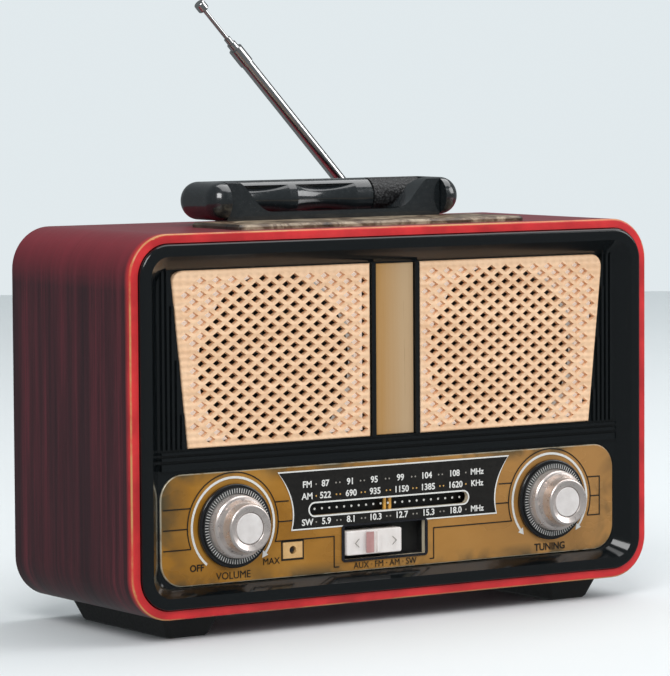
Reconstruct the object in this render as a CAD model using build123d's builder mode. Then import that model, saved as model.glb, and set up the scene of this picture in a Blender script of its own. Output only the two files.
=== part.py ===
"""Retro table radio: a wrapped wooden sleeve with a black front, two speakers, a dial, a folding handle
and a telescopic aerial.  Millimetres, +Z up, front faces -Y.  The origin is on the floor, under the middle
of the cabinet's width and depth."""
import os
from math import asin, cos, radians, sin, sqrt
from build123d import *

os.makedirs("parts", exist_ok=True)

# ---- cabinet ----
WIDTH = 250.0
HEIGHT = 150.0
DEPTH = 93.0
FOOT_HEIGHT = 9.0
CORNER_R = 17.0
WALL = 9.0
BAND = 3.6                      # red edge that shows round the black front
FIT = 0.3                       # gap between a piece and the seat round it
FRONT_Y = -DEPTH / 2
BACK_Y = DEPTH / 2
BOTTOM_Z = FOOT_HEIGHT
TOP_Z = BOTTOM_Z + HEIGHT
MID_Z = BOTTOM_Z + HEIGHT / 2

# ---- black front ----
BEZEL_PROUD = 1.8
BEZEL_DEPTH = 8.2               # behind the cabinet's front edge
REBATE = 6.0                    # depth of the step that the front sits in
LAND = 4.8                      # flat rim round the front's hollow
SLOPE_SIDE = 5.2                # sloping walls inside the rim
SLOPE_TOP = 5.4
SLOPE_LOW = 3.2
FLOOR_Y = FRONT_Y + 3.5         # the hollow's floor
BEZEL_W = WIDTH - 2 * BAND - 2 * FIT
BEZEL_H = HEIGHT - 2 * BAND - 2 * FIT
BEZEL_R = CORNER_R - BAND - FIT
BEZEL_FRONT_Y = FRONT_Y - BEZEL_PROUD
BEZEL_BACK_Y = FRONT_Y + BEZEL_DEPTH

# ---- grilles ----
GRILLE_IN_X = 12.0
GRILLE_TOP_X = 104.6
GRILLE_LOW_X = 97.4
GRILLE_LOW_Z = BOTTOM_Z + 66.0
GRILLE_TOP_Z = BOTTOM_Z + 135.4
GRILLE_T = 2.4
GRILLE_FRONT_Y = FLOOR_Y - 0.6
GRILLE_LIP = 2.2
HOLE_PITCH_X = 7.2
HOLE_PITCH_Z = 5.4
HOLE_W = 4.6
HOLE_H = 3.2
HOLE_BORDER = 1.1

# ---- speakers ----
SPEAKER_X = 55.0
SPEAKER_Z = BOTTOM_Z + 97.0
SPEAKER_HOLE_R = 36.5
SPEAKER_R = 39.0
SPEAKER_RIM_T = 3.0
FELT_T = 1.0
BASKET_DEPTH = 20.0
BASKET_BACK_R = 20.0
MAGNET_R = 21.0
MAGNET_T = 12.0
CONE_R = 34.0
DUST_CAP_R = 14.0
SPEAKER_FRONT_Y = BEZEL_BACK_Y + FELT_T

# ---- centre strip ----
STRIP_HALF = 9.3
STRIP_T = 1.0
RIDGE_W = 2.0

# ---- dial plate ----
PLATE_HALF = 110.2
PLATE_LOW_Z = BOTTOM_Z + 12.2
PLATE_TOP_Z = BOTTOM_Z + 56.2
PLATE_R = 10.0
PLATE_T = 2.0
PLATE_FRONT_Y = FLOOR_Y - 0.3
PLATE_BACK_Y = PLATE_FRONT_Y + PLATE_T
PLATE_LIP = 3.0
KNOB_X = 77.2
KNOB_Z = BOTTOM_Z + 34.7
DIAL_SLOT_X0 = -41.4
DIAL_SLOT_X1 = 35.7
DIAL_SLOT_Z = BOTTOM_Z + 38.4
DIAL_SLOT_H = 4.9
SHAFT_HOLE_R = 4.6

# ---- knobs ----
SKIRT_R = 16.6
SKIRT_T = 1.8
KNOB_GAP = 0.6                  # between the skirt and the plate
DRUM_RING_R = 15.2
CAP_LOW_R = 12.8
CAP_TOP_R = 9.6
CAP_LOW_H = 4.0
CAP_H = 11.0
INLAY_R = 6.1
SHAFT_R = 3.0
RUNNING = 0.05                  # radial clearance of a turning shaft
KNOB_BACK_Y = PLATE_FRONT_Y - KNOB_GAP
SKIRT_FRONT_Y = KNOB_BACK_Y - SKIRT_T
CAP_FRONT_Y = SKIRT_FRONT_Y - CAP_H

# ---- band switch ----
SWITCH_X0 = -25.0
SWITCH_X1 = 14.2
SWITCH_Z0 = BOTTOM_Z + 17.2
SWITCH_Z1 = BOTTOM_Z + 30.6
SLIDER_W = 26.6
SLIDER_H = 9.8
SLIDER_TRAVEL = 12.0
SLIDER_PROUD = 1.6
TRAY_WALL = 1.2

# ---- indicator ----
LAMP_X = -49.6
LAMP_Z = BOTTOM_Z + 23.0
LAMP_W = 9.6
LAMP_H = 7.0
LAMP_R = 1.5

# ---- dial drive ----
DRUM_R = 17.8
DRUM_T = 4.0
DRUM_Y = FRONT_Y + 15.0         # middle of the drum
CORD_R = 0.4
IDLER_R = 4.0
IDLER_X = -62.0
POINTER_X = -2.4
POINTER_W = 3.7

# ---- boards ----
BOARD_Y = FRONT_Y + 29.0
BOARD_T = 1.6
BOARD_HALF = 103.0
BOARD_Z0 = BOTTOM_Z + 13.0
BOARD_Z1 = BOTTOM_Z + 55.5
BOSS_R = 3.2
BOSS_X = 98.5
SCREW_R = 1.4
HEAD_R = 2.5
HEAD_T = 1.6

# ---- rear ----
REAR_T = 3.0
REAR_INSET = 2.0
REAR_Y1 = BACK_Y - REAR_INSET
REAR_Y0 = REAR_Y1 - REAR_T
REAR_LEDGE = 4.0
DOOR_W = 84.0
DOOR_H = 34.0
DOOR_T = 1.2
DOOR_X = -40.0
DOOR_Z = BOTTOM_Z + 36.0
BATTERY_R = 9.1
BATTERY_L = 65.0

# ---- handle ----
BASE_HALF = 52.1
BASE_Y0 = -0.7
BASE_D = 9.5
POST_TOP_Z = TOP_Z + 17.6
RAIL_TOP_Z = TOP_Z + 5.1
POST_FLAT = 5.0
SWOOSH = 17.5
PIVOT_Y = BASE_Y0 + 3.0
PIVOT_Z = TOP_Z + 9.8
GRIP_R = 7.7
ARM_LENGTH = 16.0               # from the pivot to the grip's middle
ARM_T = 8.4
ARM_ROUND = 6.8
PIN_R = 2.0
TOP_PLATE_HALF = 69.5
TOP_PLATE_Y0 = -36.5
TOP_PLATE_Y1 = -1.0
TOP_PLATE_T = 2.0

# ---- aerial ----
AERIAL_X = 65.0
AERIAL_Y = BACK_Y + 4.4
AERIAL_Z = BOTTOM_Z + 135.0
AERIAL_LEAN = 43.0              # from upright, towards -X
SECTION_R = (2.6, 2.0, 1.45, 0.9)
SECTION_WALL = 0.5
SECTION_L = 113.0
STEP_OUT = 3.0                  # each section stands this far out of the one below
ROD_OUT = 16.0
TIP_R = 2.4
TIP_L = 4.2

made = []


def keep(piece, label):
    """Name a finished piece and write it to its own file."""
    piece.label = label
    export_step(piece, f"parts/{label}.step")
    made.append(label)


def facing(y):
    """A sketch plane at depth y, seen from the front: local x is X and local y is Z."""
    return Plane.XZ.offset(-y)


# ================= cabinet =================
with BuildPart() as cabinet_shell:
    with BuildSketch(facing(FRONT_Y)):
        with Locations((0, MID_Z)):
            RectangleRounded(WIDTH, HEIGHT, CORNER_R)
            RectangleRounded(WIDTH - 2 * WALL, HEIGHT - 2 * WALL, CORNER_R - WALL, mode=Mode.SUBTRACT)
    extrude(amount=-DEPTH)
    with BuildSketch(facing(FRONT_Y)):
        with Locations((0, MID_Z)):
            RectangleRounded(WIDTH - 2 * BAND, HEIGHT - 2 * BAND, CORNER_R - BAND)
    extrude(amount=-REBATE, mode=Mode.SUBTRACT)
    with BuildSketch(facing(BACK_Y)):
        with Locations((0, MID_Z)):
            RectangleRounded(WIDTH - 2 * (WALL - REAR_LEDGE), HEIGHT - 2 * (WALL - REAR_LEDGE),
                             CORNER_R - WALL + REAR_LEDGE)
    extrude(amount=REAR_INSET + REAR_T, mode=Mode.SUBTRACT)
    fillet(cabinet_shell.faces().sort_by(Axis.Y)[0].outer_wire().edges(), 1.0)
keep(cabinet_shell.part, "cabinet_shell")


def grille_points(inset, side):
    """Corners of one grille's outline, drawn in by an inset; side is -1 left or +1 right."""
    lean = (GRILLE_TOP_X - GRILLE_LOW_X) / (GRILLE_TOP_Z - GRILLE_LOW_Z)
    slant = inset * sqrt(1 + lean ** 2)
    low = GRILLE_LOW_Z + inset
    top = GRILLE_TOP_Z - inset
    return [(side * (GRILLE_IN_X + inset), low),
            (side * (GRILLE_LOW_X + lean * inset - slant), low),
            (side * (GRILLE_TOP_X - lean * inset - slant), top),
            (side * (GRILLE_IN_X + inset), top)]


def slant_x(z):
    """Where the grille's slanting edge is at height z."""
    return GRILLE_LOW_X + (GRILLE_TOP_X - GRILLE_LOW_X) * (z - GRILLE_LOW_Z) / (GRILLE_TOP_Z - GRILLE_LOW_Z)


boss_spots = [(side * BOSS_X, z) for side in (-1, 1) for z in (BOARD_Z0 + 4, BOARD_Z1 - 4)]
speaker_screw_spots = [(side * SPEAKER_X + dx * 29.5, SPEAKER_Z + dz * 29.5)
                       for side in (-1, 1) for dx in (-1, 1) for dz in (-1, 1)]

# ================= black front =================
POCKET_W = BEZEL_W - 2 * LAND
POCKET_H = BEZEL_H - 2 * LAND
POCKET_DEEP = FLOOR_Y - BEZEL_FRONT_Y
with BuildPart() as front_bezel:
    with BuildSketch(facing(BEZEL_FRONT_Y)):
        with Locations((0, MID_Z)):
            RectangleRounded(BEZEL_W, BEZEL_H, BEZEL_R)
    extrude(amount=-(REBATE + BEZEL_PROUD))
    fillet(front_bezel.faces().sort_by(Axis.Y)[0].outer_wire().edges(), 1.5)
    with BuildSketch(facing(FRONT_Y + REBATE)):
        with Locations((0, MID_Z)):
            RectangleRounded(WIDTH - 2 * WALL - 2 * FIT, HEIGHT - 2 * WALL - 2 * FIT, CORNER_R - WALL - FIT)
    extrude(amount=-(BEZEL_DEPTH - REBATE))
    with BuildSketch(facing(BEZEL_FRONT_Y)):
        with Locations((0, MID_Z)):
            RectangleRounded(POCKET_W, POCKET_H, BEZEL_R - LAND)
    with BuildSketch(facing(FLOOR_Y)):
        with Locations((0, MID_Z + (SLOPE_LOW - SLOPE_TOP) / 2)):
            RectangleRounded(POCKET_W - 2 * SLOPE_SIDE, POCKET_H - SLOPE_LOW - SLOPE_TOP, BEZEL_R - LAND - 2)
    loft(mode=Mode.SUBTRACT)
    # ribs beside the grilles, cut short where the grille's slanting side crosses them
    with BuildSketch(facing(FLOOR_Y)):
        for side in (-1, 1):
            for step in range(5):
                x = GRILLE_LOW_X + 2.6 + 2.2 * step
                reach = (x - 1.2 - GRILLE_LOW_X) / (GRILLE_TOP_X - GRILLE_LOW_X)
                rib_top = min(GRILLE_TOP_Z, GRILLE_LOW_Z + reach * (GRILLE_TOP_Z - GRILLE_LOW_Z))
                with Locations((side * x, (GRILLE_LOW_Z + rib_top) / 2)):
                    Rectangle(1.1, rib_top - GRILLE_LOW_Z)
    extrude(amount=1.0)
    # stepped moulding between the grilles and the dial
    with BuildSketch(facing(FLOOR_Y)):
        for z, thick in ((64.6, 1.0), (62.4, 1.2), (59.2, 2.6)):
            with Locations((0, BOTTOM_Z + z)):
                Rectangle(2 * PLATE_HALF, thick)
    extrude(amount=1.6)
    # ridges each side of the centre strip
    with BuildSketch(facing(FLOOR_Y)):
        for side in (-1, 1):
            with Locations((side * (STRIP_HALF + FIT + RIDGE_W / 2), (GRILLE_LOW_Z + GRILLE_TOP_Z) / 2)):
                Rectangle(RIDGE_W, GRILLE_TOP_Z - GRILLE_LOW_Z)
    extrude(amount=1.2)
    with BuildSketch(facing(FLOOR_Y)):
        with Locations((0, (GRILLE_LOW_Z + GRILLE_TOP_Z) / 2)):
            Rectangle(2 * (STRIP_HALF + FIT), GRILLE_TOP_Z - GRILLE_LOW_Z)
    extrude(amount=-STRIP_T + 0.2, mode=Mode.SUBTRACT)
    # seats and openings of the grilles
    for side in (-1, 1):
        with BuildSketch(facing(FLOOR_Y - 4)):
            Polygon(*grille_points(-FIT, side), align=None)
        extrude(amount=-(GRILLE_FRONT_Y + GRILLE_T - FLOOR_Y + 4), mode=Mode.SUBTRACT)
        with BuildSketch(facing(FLOOR_Y)):
            Polygon(*grille_points(GRILLE_LIP, side), align=None)
        extrude(amount=-20, mode=Mode.SUBTRACT)
    # seat and opening of the dial plate
    with BuildSketch(facing(FLOOR_Y)):
        with Locations((0, (PLATE_LOW_Z + PLATE_TOP_Z) / 2)):
            RectangleRounded(2 * (PLATE_HALF + FIT), PLATE_TOP_Z - PLATE_LOW_Z + 2 * FIT, PLATE_R + FIT)
    extrude(amount=-(PLATE_BACK_Y - FLOOR_Y), mode=Mode.SUBTRACT)
    with BuildSketch(facing(FLOOR_Y)):
        with Locations((0, (PLATE_LOW_Z + PLATE_TOP_Z) / 2)):
            RectangleRounded(2 * (PLATE_HALF - PLATE_LIP - 14), PLATE_TOP_Z - PLATE_LOW_Z - 2 * PLATE_LIP, 2)
    extrude(amount=-20, mode=Mode.SUBTRACT)
    # bosses for the board
    with BuildSketch(facing(PLATE_BACK_Y)):
        with Locations(*boss_spots):
            Circle(BOSS_R)
            Circle(SCREW_R, mode=Mode.SUBTRACT)
    extrude(amount=-(BOARD_Y - PLATE_BACK_Y))
keep(front_bezel.part, "front_bezel")

# ================= grilles and what is behind them =================
for side, name in ((-1, "left"), (1, "right")):
    with BuildPart() as grille:
        with BuildSketch(facing(GRILLE_FRONT_Y)):
            Polygon(*grille_points(0, side), align=None)
        extrude(amount=-GRILLE_T)
        corner = grille.edges().filter_by(Axis.Y).sort_by(lambda e: -side * e.center().X - e.center().Z / 4)[0]
        fillet(corner, 5)
        fillet(grille.faces().sort_by(Axis.Y)[0].outer_wire().edges(), 0.6)
        border = HOLE_BORDER + HOLE_W / 2
        spots = []
        rows = int((GRILLE_TOP_Z - GRILLE_LOW_Z) / (HOLE_PITCH_Z / 2))
        for row in range(rows):
            z = GRILLE_LOW_Z + 3.1 + row * HOLE_PITCH_Z / 2
            x = GRILLE_IN_X + border + (row % 2) * HOLE_PITCH_X / 2
            while x < slant_x(z) - border:
                if z < GRILLE_TOP_Z - 2.6 and not (x > GRILLE_TOP_X - 9 and z > GRILLE_TOP_Z - 6):
                    spots.append((side * x, z))
                x += HOLE_PITCH_X
        with BuildSketch(facing(GRILLE_FRONT_Y)):
            with Locations(*spots):
                Polygon((-HOLE_W / 2, 0), (0, -HOLE_H / 2), (HOLE_W / 2, 0), (0, HOLE_H / 2))
        extrude(amount=-GRILLE_T, mode=Mode.SUBTRACT)
    keep(grille.part, f"grille_{name}")

SIDES = (-1, 1)


def speaker_plane(side):
    """The plane that a speaker's section is drawn on: local x is out from its axis, local y is depth."""
    return Plane(origin=(side * SPEAKER_X, SPEAKER_FRONT_Y, SPEAKER_Z), x_dir=(1, 0, 0), z_dir=(0, 0, 1))


def speaker_axis(side):
    """The line that a speaker's section turns about."""
    return Axis((side * SPEAKER_X, 0, SPEAKER_Z), (0, 1, 0))


with BuildPart() as speaker_baffles:
    for side in SIDES:
        with BuildSketch(facing(BEZEL_BACK_Y)):
            with Locations((side * (SPEAKER_X + 2.5), (GRILLE_LOW_Z + GRILLE_TOP_Z) / 2)):
                Rectangle(96, GRILLE_TOP_Z - GRILLE_LOW_Z + 2)
            with Locations((side * SPEAKER_X, SPEAKER_Z)):
                Circle(SPEAKER_HOLE_R, mode=Mode.SUBTRACT)
            with Locations(*speaker_screw_spots):
                Circle(SCREW_R + FIT, mode=Mode.SUBTRACT)
        extrude(amount=-FELT_T)
    # the boards fill the openings of the front, up to the backs of the grilles
    with BuildSketch(facing(GRILLE_FRONT_Y + GRILLE_T)):
        for side in SIDES:
            Polygon(*grille_points(GRILLE_LIP + FIT, side), align=None)
            with Locations((side * SPEAKER_X, SPEAKER_Z)):
                Circle(SPEAKER_HOLE_R, mode=Mode.SUBTRACT)
    extrude(amount=-(BEZEL_BACK_Y - GRILLE_FRONT_Y - GRILLE_T))
keep(speaker_baffles.part, "speaker_baffles")

with BuildPart() as speaker_baskets:
    for side in SIDES:
        with BuildSketch(speaker_plane(side)):
            Polygon((SPEAKER_HOLE_R, 0), (SPEAKER_R, 0), (SPEAKER_R, SPEAKER_RIM_T),
                    (SPEAKER_R - 3, SPEAKER_RIM_T), (BASKET_BACK_R + 1.5, BASKET_DEPTH),
                    (6, BASKET_DEPTH), (6, BASKET_DEPTH - 1.5), (BASKET_BACK_R, BASKET_DEPTH - 1.5),
                    (SPEAKER_HOLE_R, SPEAKER_RIM_T - 1), align=None)
        revolve(axis=speaker_axis(side), revolution_arc=360)
        with BuildSketch(facing(SPEAKER_FRONT_Y)):
            with Locations((side * SPEAKER_X, SPEAKER_Z)):
                RectangleRounded(2 * SPEAKER_R - 6, 2 * SPEAKER_R - 6, 6)
                Circle(SPEAKER_HOLE_R, mode=Mode.SUBTRACT)
        extrude(amount=-SPEAKER_RIM_T / 2)
    with BuildSketch(facing(SPEAKER_FRONT_Y)):
        with Locations(*speaker_screw_spots):
            Circle(SCREW_R + FIT)
    extrude(amount=-SPEAKER_RIM_T, mode=Mode.SUBTRACT)
keep(speaker_baskets.part, "speaker_baskets")

with BuildPart() as speaker_cones:
    for side in SIDES:
        with BuildSketch(speaker_plane(side)):
            Polygon((SPEAKER_HOLE_R - FIT, 0.6), (CONE_R, 0.2), (CONE_R - 2, 1.6), (8, BASKET_DEPTH - 5),
                    (8, BASKET_DEPTH - 2.2), (9, BASKET_DEPTH - 2.2), (9, BASKET_DEPTH - 4.4),
                    (CONE_R - 1, 2.6), (SPEAKER_HOLE_R - FIT, 1.6), align=None)
        revolve(axis=speaker_axis(side), revolution_arc=360)
keep(speaker_cones.part, "speaker_cones")

# a dust cap is a thin slice of a ball, and its rim rests where the cone has the cap's radius
CAP_RIM_Y = 1.6 + (BASKET_DEPTH - 6.6) * (CONE_R - 2 - DUST_CAP_R) / (CONE_R - 10) - 0.3
DUST_CAP_RISE = 5.2
DUST_CAP_T = 0.8
ball_r = (DUST_CAP_R ** 2 + DUST_CAP_RISE ** 2) / (2 * DUST_CAP_RISE)
ball_y = CAP_RIM_Y - DUST_CAP_RISE + ball_r
half_angle = asin(DUST_CAP_R / ball_r)


def on_ball(radius, angle):
    """A point of a dust cap's section, at an angle from its axis."""
    return (radius * sin(angle), ball_y - radius * cos(angle))


with BuildPart() as speaker_dust_caps:
    inner_r = ball_r - DUST_CAP_T
    for side in SIDES:
        with BuildSketch(speaker_plane(side)):
            with BuildLine():
                ThreePointArc(on_ball(ball_r, 0), on_ball(ball_r, half_angle / 2), on_ball(ball_r, half_angle))
                Line(on_ball(ball_r, half_angle), on_ball(inner_r, half_angle))
                ThreePointArc(on_ball(inner_r, half_angle), on_ball(inner_r, half_angle / 2), on_ball(inner_r, 0))
                Line(on_ball(inner_r, 0), on_ball(ball_r, 0))
            make_face()
        revolve(axis=speaker_axis(side), revolution_arc=360)
keep(speaker_dust_caps.part, "speaker_dust_caps")

with BuildPart() as speaker_magnets:
    for side in SIDES:
        with BuildSketch(facing(SPEAKER_FRONT_Y + BASKET_DEPTH)):
            with Locations((side * SPEAKER_X, SPEAKER_Z)):
                Circle(MAGNET_R)
        extrude(amount=-MAGNET_T)
    chamfer(speaker_magnets.edges().filter_by(GeomType.CIRCLE), 0.8)
keep(speaker_magnets.part, "speaker_magnets")

# ================= centre strip and dial plate =================
with BuildPart() as centre_strip:
    with BuildSketch(facing(FLOOR_Y + STRIP_T - 0.2)):
        with Locations((0, (GRILLE_LOW_Z + GRILLE_TOP_Z) / 2)):
            Rectangle(2 * STRIP_HALF, GRILLE_TOP_Z - GRILLE_LOW_Z - 2 * FIT)
    extrude(amount=STRIP_T)
    chamfer(centre_strip.faces().sort_by(Axis.Y)[0].outer_wire().edges(), 0.3)
keep(centre_strip.part, "centre_strip")

with BuildPart() as dial_plate:
    with BuildSketch(facing(PLATE_FRONT_Y)):
        with Locations((0, (PLATE_LOW_Z + PLATE_TOP_Z) / 2)):
            RectangleRounded(2 * PLATE_HALF, PLATE_TOP_Z - PLATE_LOW_Z, PLATE_R)
    extrude(amount=-PLATE_T)
    fillet(dial_plate.faces().sort_by(Axis.Y)[0].outer_wire().edges(), 0.7)
    with BuildSketch(facing(PLATE_FRONT_Y - 1)):
        with Locations(((DIAL_SLOT_X0 + DIAL_SLOT_X1) / 2, DIAL_SLOT_Z)):
            SlotOverall(DIAL_SLOT_X1 - DIAL_SLOT_X0, DIAL_SLOT_H)
        with Locations((-KNOB_X, KNOB_Z), (KNOB_X, KNOB_Z)):
            Circle(SHAFT_HOLE_R)
        with Locations(((SWITCH_X0 + SWITCH_X1) / 2, (SWITCH_Z0 + SWITCH_Z1) / 2)):
            Rectangle(SWITCH_X1 - SWITCH_X0, SWITCH_Z1 - SWITCH_Z0)
        with Locations((LAMP_X, LAMP_Z)):
            Rectangle(LAMP_W, LAMP_H)
    extrude(amount=-(PLATE_T + 2), mode=Mode.SUBTRACT)
keep(dial_plate.part, "dial_plate")

with BuildPart() as dial_backing:
    with BuildSketch(facing(PLATE_BACK_Y + 3.0)):
        with Locations(((DIAL_SLOT_X0 + DIAL_SLOT_X1) / 2, DIAL_SLOT_Z)):
            Rectangle(DIAL_SLOT_X1 - DIAL_SLOT_X0 + 8, DIAL_SLOT_H + 3)
    extrude(amount=-1.2)
    with BuildSketch(facing(PLATE_BACK_Y)):
        for x in (DIAL_SLOT_X0 - 3, DIAL_SLOT_X1 + 3):
            with Locations((x, DIAL_SLOT_Z)):
                Rectangle(1.6, DIAL_SLOT_H + 3)
    extrude(amount=-3.0)
keep(dial_backing.part, "dial_backing")

# ================= knobs =================
for side, name in ((-1, "volume"), (1, "tuning")):
    knob_axis = Axis((side * KNOB_X, 0, KNOB_Z), (0, 1, 0))
    with BuildPart() as skirt:
        with BuildSketch(facing(KNOB_BACK_Y)):
            with Locations((side * KNOB_X, KNOB_Z)):
                Circle(SKIRT_R)
                Circle(SHAFT_R, mode=Mode.SUBTRACT)
        extrude(amount=SKIRT_T)
        fillet(skirt.faces().sort_by(Axis.Y)[0].outer_wire().edges(), 0.7)
    keep(skirt.part, f"{name}_knob_skirt")

    with BuildPart() as scale_ring:
        with BuildSketch(facing(SKIRT_FRONT_Y)):
            with Locations((side * KNOB_X, KNOB_Z)):
                Circle(DRUM_RING_R)
                Circle(CAP_LOW_R + 0.2, mode=Mode.SUBTRACT)
        extrude(amount=0.8)
        fillet(scale_ring.edges().group_by(Axis.Y)[0], 0.3)
    keep(scale_ring.part, f"{name}_knob_ring")

    with BuildPart() as cap:
        with BuildSketch(Plane(origin=(side * KNOB_X, 0, KNOB_Z), x_dir=(1, 0, 0), z_dir=(0, 0, 1))):
            with BuildLine():
                Polyline((SHAFT_R, SKIRT_FRONT_Y), (CAP_LOW_R, SKIRT_FRONT_Y),
                         (CAP_LOW_R - 0.5, SKIRT_FRONT_Y - CAP_LOW_H),
                         (CAP_LOW_R - 1.0, SKIRT_FRONT_Y - CAP_LOW_H - 0.5),
                         (CAP_TOP_R + 1.4, SKIRT_FRONT_Y - CAP_LOW_H - 0.7),
                         (CAP_TOP_R + 0.5, SKIRT_FRONT_Y - CAP_LOW_H - 2.4),
                         (CAP_TOP_R, CAP_FRONT_Y + 1.0))
                ThreePointArc((CAP_TOP_R, CAP_FRONT_Y + 1.0), (CAP_TOP_R - 0.3, CAP_FRONT_Y + 0.3),
                              (CAP_TOP_R - 1.0, CAP_FRONT_Y))
                Polyline((CAP_TOP_R - 1.0, CAP_FRONT_Y), (INLAY_R + 0.6, CAP_FRONT_Y + 0.8),
                         (INLAY_R + FIT, CAP_FRONT_Y + 1.0), (INLAY_R + FIT, CAP_FRONT_Y + 2.2),
                         (0, CAP_FRONT_Y + 2.2), (0, CAP_FRONT_Y + 4.2),
                         (SHAFT_R, CAP_FRONT_Y + 4.2), (SHAFT_R, SKIRT_FRONT_Y))
            make_face()
        revolve(axis=knob_axis, revolution_arc=360)
        with BuildSketch(facing(SKIRT_FRONT_Y - CAP_LOW_H - 0.7)):
            with Locations((side * KNOB_X, KNOB_Z)):
                with PolarLocations(CAP_TOP_R + 2.9, 8):
                    Circle(1.9)
        extrude(amount=3.4, mode=Mode.SUBTRACT)
    keep(cap.part, f"{name}_knob_cap")

    with BuildPart() as inlay:
        with BuildSketch(facing(CAP_FRONT_Y + 2.2)):
            with Locations((side * KNOB_X, KNOB_Z)):
                Circle(INLAY_R)
        extrude(amount=1.4)
        fillet(inlay.faces().sort_by(Axis.Y)[0].outer_wire().edges(), 0.4)
    keep(inlay.part, f"{name}_knob_inlay")

    shaft_end = BOARD_Y - 2.0
    with BuildPart() as shaft:
        with BuildSketch(facing(CAP_FRONT_Y + 4.2)):
            with Locations((side * KNOB_X, KNOB_Z)):
                Circle(SHAFT_R)
        extrude(amount=-(shaft_end - CAP_FRONT_Y - 4.2))
    keep(shaft.part, f"{name}_shaft")

with BuildPart() as volume_control:
    with BuildSketch(facing(PLATE_BACK_Y + 5)):
        with Locations((-KNOB_X, KNOB_Z)):
            Circle(8.5)
    extrude(amount=-(BOARD_Y - PLATE_BACK_Y - 5))
    with BuildSketch(facing(PLATE_BACK_Y + 5)):
        with Locations((-KNOB_X, KNOB_Z)):
            Circle(SHAFT_HOLE_R - 0.2)
    extrude(amount=4.0)
    with BuildSketch(facing(PLATE_BACK_Y)):
        with Locations((-KNOB_X, KNOB_Z)):
            Circle(SHAFT_R + RUNNING)
    extrude(amount=-(shaft_end + FIT - PLATE_BACK_Y), mode=Mode.SUBTRACT)
    with BuildSketch(facing(BOARD_Y)):
        for dx in (-5, 0, 5):
            with Locations((-KNOB_X + dx, KNOB_Z - 7.5)):
                Rectangle(1.2, 3.0)
    extrude(amount=1.5)
keep(volume_control.part, "volume_control")

DRUM_Y0 = DRUM_Y - DRUM_T / 2
DRUM_Y1 = DRUM_Y + DRUM_T / 2
with BuildPart() as tuning_capacitor:
    with BuildSketch(facing(DRUM_Y1 + 1.5)):
        with Locations((KNOB_X, KNOB_Z)):
            RectangleRounded(20, 20, 1.5)
            Circle(SHAFT_R + RUNNING, mode=Mode.SUBTRACT)
    extrude(amount=-(BOARD_Y - DRUM_Y1 - 1.5))
keep(tuning_capacitor.part, "tuning_capacitor")

with BuildPart() as dial_drum:
    with BuildSketch(Plane(origin=(KNOB_X, 0, KNOB_Z), x_dir=(1, 0, 0), z_dir=(0, 0, 1))):
        Polygon((SHAFT_R, DRUM_Y0), (DRUM_R + 1.2, DRUM_Y0), (DRUM_R + 1.2, DRUM_Y0 + 1), (DRUM_R, DRUM_Y0 + 1),
                (DRUM_R, DRUM_Y1 - 1), (DRUM_R + 1.2, DRUM_Y1 - 1), (DRUM_R + 1.2, DRUM_Y1), (SHAFT_R, DRUM_Y1),
                align=None)
    revolve(axis=Axis((KNOB_X, 0, KNOB_Z), (0, 1, 0)), revolution_arc=360)
    with BuildSketch(facing(DRUM_Y0)):
        with Locations((KNOB_X, KNOB_Z)):
            with PolarLocations(10.5, 5):
                Circle(3.6)
    extrude(amount=-DRUM_T, mode=Mode.SUBTRACT)
keep(dial_drum.part, "dial_drum")

# dial cord: round the drum, along the top, round the idler and back
CORD_AT = DRUM_R + FIT + CORD_R
IDLER_AT = IDLER_R + FIT + CORD_R
IDLER_Z = KNOB_Z + CORD_AT - IDLER_AT
span = KNOB_X - IDLER_X
drop = CORD_AT - IDLER_AT
lean_cos = (span * span - drop * drop) / (span * span + drop * drop)
lean_sin = 2 * span * drop / (span * span + drop * drop)
drum_low = (KNOB_X - CORD_AT * lean_sin, KNOB_Z - CORD_AT * lean_cos)
idler_low = (IDLER_X - IDLER_AT * lean_sin, IDLER_Z - IDLER_AT * lean_cos)
with BuildPart() as dial_cord:
    with BuildLine(facing(DRUM_Y)):
        Line((KNOB_X, KNOB_Z + CORD_AT), (IDLER_X, IDLER_Z + IDLER_AT))
        ThreePointArc((IDLER_X, IDLER_Z + IDLER_AT), (IDLER_X - IDLER_AT, IDLER_Z), idler_low)
        Line(idler_low, drum_low)
        ThreePointArc(drum_low, (KNOB_X + CORD_AT, KNOB_Z), (KNOB_X, KNOB_Z + CORD_AT))
    with BuildSketch(Plane(origin=(KNOB_X - span / 2, DRUM_Y, KNOB_Z + CORD_AT), z_dir=(-1, 0, 0))):
        Circle(CORD_R)
    sweep()
keep(dial_cord.part, "dial_cord")

with BuildPart() as cord_idler:
    with BuildSketch(Plane(origin=(IDLER_X, 0, IDLER_Z), x_dir=(1, 0, 0), z_dir=(0, 0, 1))):
        Polygon((1.6, DRUM_Y0), (IDLER_R + 1.2, DRUM_Y0), (IDLER_R + 1.2, DRUM_Y0 + 1), (IDLER_R, DRUM_Y0 + 1),
                (IDLER_R, DRUM_Y1 - 1), (IDLER_R + 1.2, DRUM_Y1 - 1), (IDLER_R + 1.2, DRUM_Y1), (1.6, DRUM_Y1),
                align=None)
    revolve(axis=Axis((IDLER_X, 0, IDLER_Z), (0, 1, 0)), revolution_arc=360)
keep(cord_idler.part, "cord_idler")

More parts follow.
